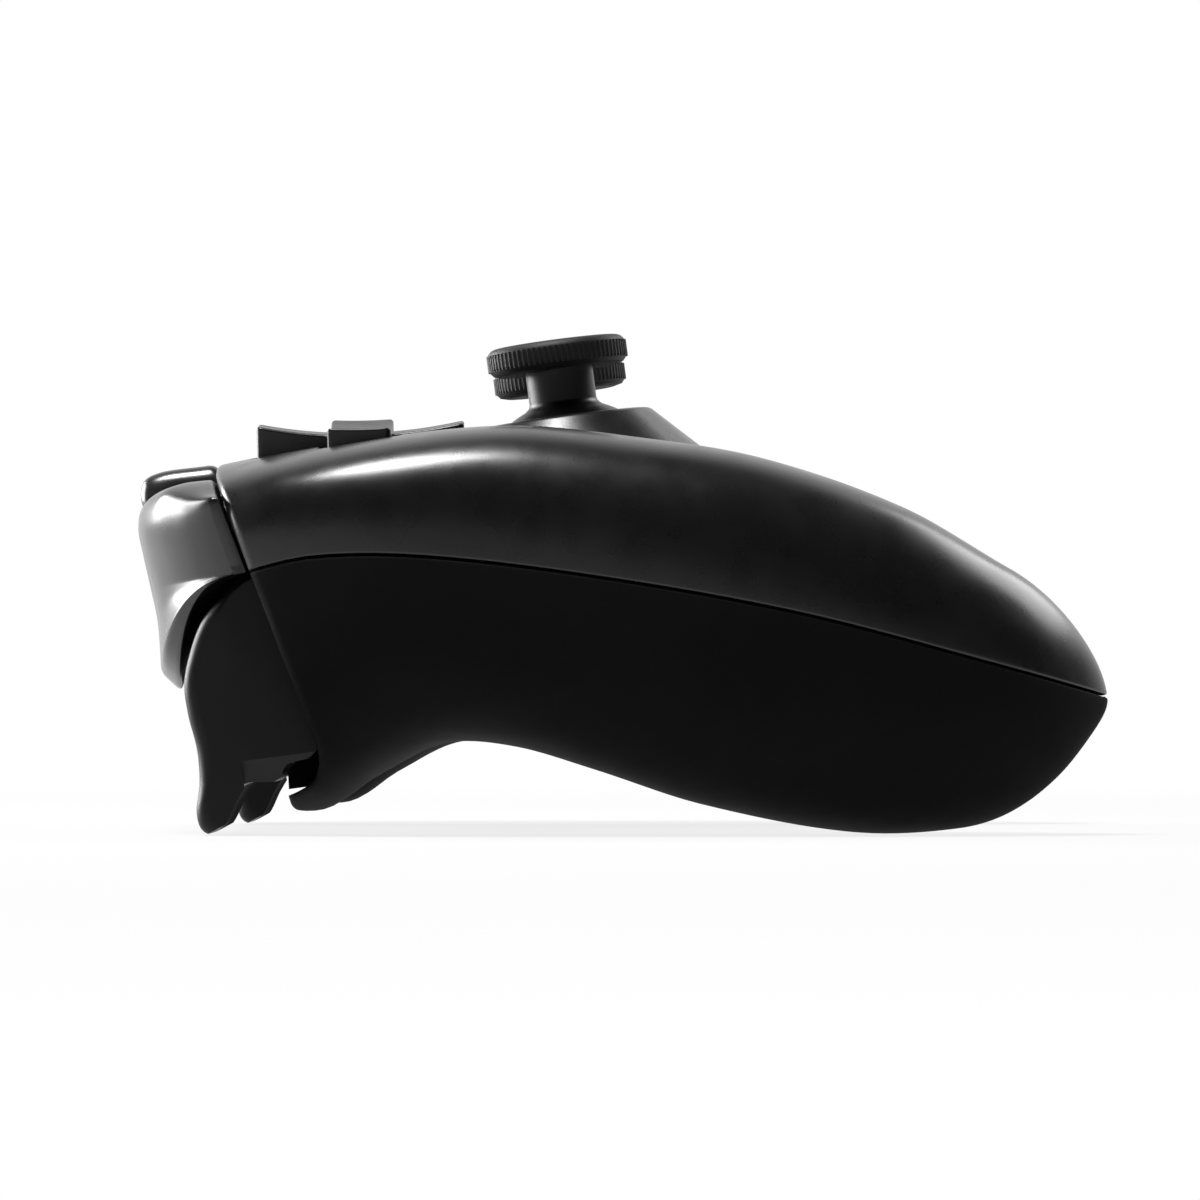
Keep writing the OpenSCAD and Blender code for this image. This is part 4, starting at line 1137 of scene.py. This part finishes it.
def new_tree(name, sockets):
    """An empty node tree with named inputs and a shape as its result."""
    tree = bpy.data.node_groups.new(name, "GeometryNodeTree")
    for label, kind in sockets.items():
        tree.interface.new_socket(label, in_out="INPUT", socket_type="NodeSocket" + kind)
    tree.interface.new_socket("Geometry", in_out="OUTPUT", socket_type="NodeSocketGeometry")
    return tree, tree.nodes.new("NodeGroupInput").outputs


def set_at(tree, points, shape, finish):
    """Ends a node tree with a shape at each point, as plain faces with a finish."""
    put = add(tree, "GeometryNodeInstanceOnPoints", {"Points": points, "Instance": shape})
    real = add(tree, "GeometryNodeRealizeInstances", {"Geometry": put.outputs["Instances"]})
    dress = add(tree, "GeometryNodeSetMaterial", {"Geometry": real.outputs["Geometry"], "Material": finish})
    add(tree, "NodeGroupOutput", {"Geometry": dress.outputs["Geometry"]})
    return tree


def ring_of_ribs():
    """Node tree: small upright ribs spaced around a rim."""
    tree, given = new_tree("ring_of_ribs", {
        "Ribs": "Int", "Rim Radius": "Float", "Rib Width": "Float", "Rib Height": "Float", "Finish": "Material"})
    rim = add(tree, "GeometryNodeCurvePrimitiveCircle", {"Resolution": given["Ribs"], "Radius": given["Rim Radius"]})
    rib = add(tree, "GeometryNodeMeshCylinder", {
        "Vertices": 8, "Radius": given["Rib Width"], "Depth": given["Rib Height"]})
    return set_at(tree, rim.outputs["Curve"], rib.outputs["Mesh"], given["Finish"])


def shape_at_points():
    """Node tree: one shape set at each point of a mesh."""
    tree, given = new_tree("shape_at_points", {"Geometry": "Geometry", "Shape": "Object", "Finish": "Material"})
    shape = add(tree, "GeometryNodeObjectInfo", {"Object": given["Shape"]})
    return set_at(tree, given["Geometry"], shape.outputs["Geometry"], given["Finish"])


def grown(name, tree, values, base_points=()):
    """The plain mesh that a node tree makes, as a new object."""
    seed = bpy.data.meshes.new(name)
    seed.from_pydata([tuple(p) for p in base_points], [], [])
    maker = new_object(name, seed)
    mod = maker.modifiers.new("grow", "NODES")
    mod.node_group = tree
    for item in tree.interface.items_tree:
        if item.in_out == "INPUT" and item.name in values:
            mod[item.identifier] = values[item.name]
    graph = bpy.context.evaluated_depsgraph_get()
    mesh = bpy.data.meshes.new_from_object(maker.evaluated_get(graph))
    maker.modifiers.remove(mod)
    maker.data = mesh
    bpy.data.meshes.remove(seed)
    return maker


RIB_TREE = ring_of_ribs()
POINTS_TREE = shape_at_points()


def level_to_table(piece, centre):
    """Moves a piece made at the origin in millimetres to its place on the leaned pad."""
    points = np.array([v.co for v in piece.data.vertices]) + np.asarray(centre)
    for v, p in zip(piece.data.vertices, to_table(points)):
        v.co = p


def stem_outline():
    """Half section of a stick's pillar: bore, skirt, blend and shaft, up from the pivot."""
    top, bore, root_r = CAP_TOP - 2, 1.55, 3.0
    inner = SKIRT_R - SKIRT_T
    end = 90 - 63
    start = 90 - math.degrees(math.asin(root_r / inner))
    finish = 90 - math.degrees(math.asin(STEM_R / SKIRT_R) + 0.06)
    under = arc((0, 0), inner, np.linspace(start, end, 28))
    over = arc((0, 0), SKIRT_R, np.linspace(end, finish, 32))
    foot = over[-1]
    blend = [(STEM_R + (foot[0] - STEM_R) * (1 - t) ** 2, foot[1] + 0.9 * t) for t in (0.3, 0.6, 1.0)]
    inside = [(0, top - 4.9), (bore, top - 4.9), (bore, 6.5), (root_r, 6.5)]
    return [*inside, *under, *over, *blend, (STEM_R, top), (0, top)]


def cap_outline():
    """Half section of a stick's cap: seat, underside, rounded brim and finger hollow, up from the pivot."""
    r, brim, seat = CAP_R, 1.15, STEM_R + 0.05
    foot = CAP_TOP - CAP_H
    edge = arc((r - brim, CAP_TOP - brim), brim, np.linspace(0, 100, 9))
    under = [(0, CAP_TOP - 1.95), (seat, CAP_TOP - 1.95), (seat, foot + 0.5), (seat + 0.3, foot + 0.15),
             (r - 1.5, foot), (r - 0.5, foot + 0.25), (r - 0.12, foot + 0.7), (r, foot + 1.1)]
    dip = [(r - 2.2, 0.25), (r - 3.0, 0.6), (r - 4.2, 0.85), (2.0, 0.95), (0, 0.95)]
    return [*under, *edge, *[(x, CAP_TOP - sunk) for x, sunk in dip]]


def make_sticks():
    for s, side in ((-1, "left"), (1, "right")):
        centre = (s * STICK_X, STICK_Y, PIVOT_Z)
        body = side + "_stick"
        stem = turned("stem", stem_outline(), centre, 112)
        finish_piece(stem, body + "_pillar", body, "stem_plastic", [body + "_stem"])
        cap = turned("cap", cap_outline(), centre, 144)
        finish_piece(cap, body + "_top", body, "cap_rubber", [body + "_cap"])
        ribs = grown(side + "_ribs", RIB_TREE, {
            "Ribs": 76, "Rim Radius": CAP_R - 0.16, "Rib Width": 0.26, "Rib Height": 2.0,
            "Finish": FINISHES["cap_rubber"]})
        level_to_table(ribs, (centre[0], centre[1], PIVOT_Z + CAP_TOP - CAP_H + 1.75))
        finish_piece(ribs, body + "_knurl", body, "cap_rubber")


# Screws and lights

def screw(length):
    """A cross-slotted screw, up from the seat of its head."""
    head = [(0, -2.0), (1.7, -2.0), (2.15, -1.85), (2.4, -1.4), (2.4, -0.05)]
    side = [*head, (1.15, -0.05), (1.15, length), (0, length)]
    slot = block(-1.5, 1.5, -0.32, 0.32, -3.0, -1.0)
    carve(slot, [block(-0.32, 0.32, -1.5, 1.5, -3.0, -1.0)], "UNION")
    return carve(turned("screw", side, (0.0, 0.0, 0.0), 40), [slot])


def repeated(shape, places, slot):
    """A shape made at the origin of the level pad, set at places on the table."""
    origin = Vector(to_table([(0, 0, 0)])[0])
    for v in shape.data.vertices:
        v.co -= origin
    copies = grown("copies", POINTS_TREE, {"Shape": shape, "Finish": FINISHES[slot]}, to_table(places))
    bpy.data.objects.remove(shape)
    return copies


def make_fasteners():
    parts = []
    for seat in sorted({seat for _, _, _, seat, _ in SCREWS}):
        matching = [(x, y, split) for x, y, _, z, split in SCREWS if z == seat]
        length = matching[0][2] + 3.4 - seat
        parts.append(repeated(screw(length), [(s * x, y, seat) for s in (-1, 1) for x, y, _ in matching], "steel"))
    finish_piece(join_up(parts), "shell_screw_set", "housing", "steel", ["shell_screws"])


def make_lights():
    foot, top = 10.1, face_height(5.5, LIGHT_Y) + 0.08
    side = [(0, foot), (LIGHT_R, foot), (LIGHT_R, top - 0.35), (LIGHT_R - 0.12, top - 0.12),
            (LIGHT_R * 0.6, top - 0.02), (0, top)]
    pipe = turned("pipe", side, (0.0, 0.0, 0.0), 36)
    lights = repeated(pipe, [(x, LIGHT_Y, 0.0) for x in LIGHT_X], "light_pipe")
    finish_piece(lights, "player_light_set", "housing", "light_pipe", ["player_lights"])


# Inner pieces keep their solids and get a finish

def pair(name):
    return ["left_" + name, "right_" + name]


INNER = {
    "inner_plastic": ["inner_frame", "edge_switches", "bumper_switches", "power_switch", "pairing_button",
                      *pair("stick_module"), *pair("stick_carriage"), *pair("stick_cradle"), *pair("stick_shaft")],
    "board_green": ["main_board", "button_board"],
    "battery_foil": ["battery"],
    "steel": ["usb_port", "board_screws", "trigger_pins", *pair("trigger_spring"), *pair("trigger_magnet"),
              "dpad_ball", *pair("motor"), *pair("weight")],
    "membrane_rubber": ["dpad_membrane", "button_membrane", "center_membrane"],
}


def dress_inner_pieces():
    for slot, names in INNER.items():
        for name in names:
            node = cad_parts[name]
            node.data.materials.clear()
            node.data.materials.append(FINISHES[slot])


# Studio

# The picture in pixels: its width, a metre seen from a metre away, and its middle above the level line
PHOTO_PX = 1200
FOCAL_PX = 8070
RISE_PX = 124
SENSOR = 36.0
CAMERA_AT = (-1.0, 0.00185, 0.01279)
PAD_MIDDLE = (0.0, 0.0, 0.03)
ROOM_GLOW = 0.008
FLOOR_REACH = 6.0
FLOOR_GREY = 0.45


def aimed(thing, place, way):
    """Sets a lamp or a camera at a place, facing a way."""
    thing.location = place
    thing.rotation_mode = "QUATERNION"
    thing.rotation_quaternion = Vector(way).to_track_quat("-Z", "Y")


def softbox(name, place, wide, tall, power):
    data = bpy.data.lights.new(name, "AREA")
    data.shape = "RECTANGLE"
    data.size, data.size_y, data.energy = wide, tall, power
    aimed(new_object(name, data), place, Vector(PAD_MIDDLE) - Vector(place))


def seen_rays(tree):
    """1 for rays that show the background itself: to the camera, in a reflection or through glass."""
    rays = tree.nodes.new("ShaderNodeLightPath").outputs
    seen = rays["Is Camera Ray"]
    for name in ("Is Glossy Ray", "Is Transmission Ray"):
        seen = add(tree, "ShaderNodeMath", {0: seen, 1: rays[name]}, operation="MAXIMUM").outputs["Value"]
    return seen


def white_studio():
    """White to the camera. All other rays meet a white backdrop behind the pad and a dim room in front."""
    world = bpy.data.worlds.new("studio")
    bpy.context.scene.world = world
    world.use_nodes = True
    tree = world.node_tree
    place = tree.nodes.new("ShaderNodeTexCoord").outputs["Generated"]
    split = add(tree, "ShaderNodeSeparateXYZ", {"Vector": place})
    behind = ranged(tree, split.outputs["X"], 0.3, 0.8, ROOM_GLOW, 1.0, interpolation_type="SMOOTHSTEP")
    rays = tree.nodes.new("ShaderNodeLightPath").outputs
    pick = add(tree, "ShaderNodeMix", {"Factor": rays["Is Camera Ray"], "A": behind, "B": 1.0}, data_type="FLOAT")
    feed(tree, tree.nodes["Background"], {"Strength": pick.outputs["Result"], "Color": (1, 1, 1, 1)})


def white_floor():
    """A pale floor that takes the pad's shadow and fades into white away from it."""
    bm = bmesh.new()
    bmesh.ops.create_circle(bm, cap_ends=True, radius=FLOOR_REACH, segments=96)
    mesh = bpy.data.meshes.new("floor")
    bm.to_mesh(mesh)
    bm.free()
    floor = new_object("floor", mesh)
    floor.location.z = -0.0002
    finish, tree, shader, place = new_finish("floor_white")
    feed(tree, shader, {"Base Color": (*[FLOOR_GREY] * 3, 1), "Roughness": 0.9, "Specular IOR Level": 0.0})
    away = add(tree, "ShaderNodeVectorMath", {0: place}, operation="LENGTH")
    white = ranged(tree, away.outputs["Value"], 0.1, 0.7, 0.82, 1.0, interpolation_type="SMOOTHSTEP")
    share = add(tree, "ShaderNodeMath", {0: seen_rays(tree), 1: white}, operation="MULTIPLY")
    glow = add(tree, "ShaderNodeEmission", {"Strength": 1.0})
    mix = add(tree, "ShaderNodeMixShader", {
        "Fac": share.outputs["Value"], 1: shader.outputs["BSDF"], 2: glow.outputs["Emission"]})
    feed(tree, tree.nodes["Material Output"], {"Surface": mix.outputs["Shader"]})
    mesh.materials.append(finish)


def studio():
    scene = bpy.context.scene
    scene.view_settings.view_transform = "Standard"
    white_studio()
    white_floor()
    softbox("over_face", (-0.16, 0.22, 0.85), 0.3, 0.3, 13.0)
    softbox("front_side", (0.42, 0.78, 0.2), 0.6, 0.5, 13.0)
    softbox("behind_grips", (0.45, -0.65, 0.55), 0.6, 0.4, 4.0)
    data = bpy.data.cameras.new("camera")
    data.sensor_width = SENSOR
    data.lens = FOCAL_PX / PHOTO_PX * SENSOR
    data.clip_start, data.clip_end = 0.05, 50.0
    scene.camera = new_object("camera", data)
    aimed(scene.camera, CAMERA_AT, (FOCAL_PX, 0, RISE_PX))


studio()
make_upper_shell()
make_lower_shell()
make_front_trim()
make_bumpers()
make_triggers()
make_direction_pad()
make_keys()
make_sticks()
make_fasteners()
make_lights()
dress_inner_pieces()
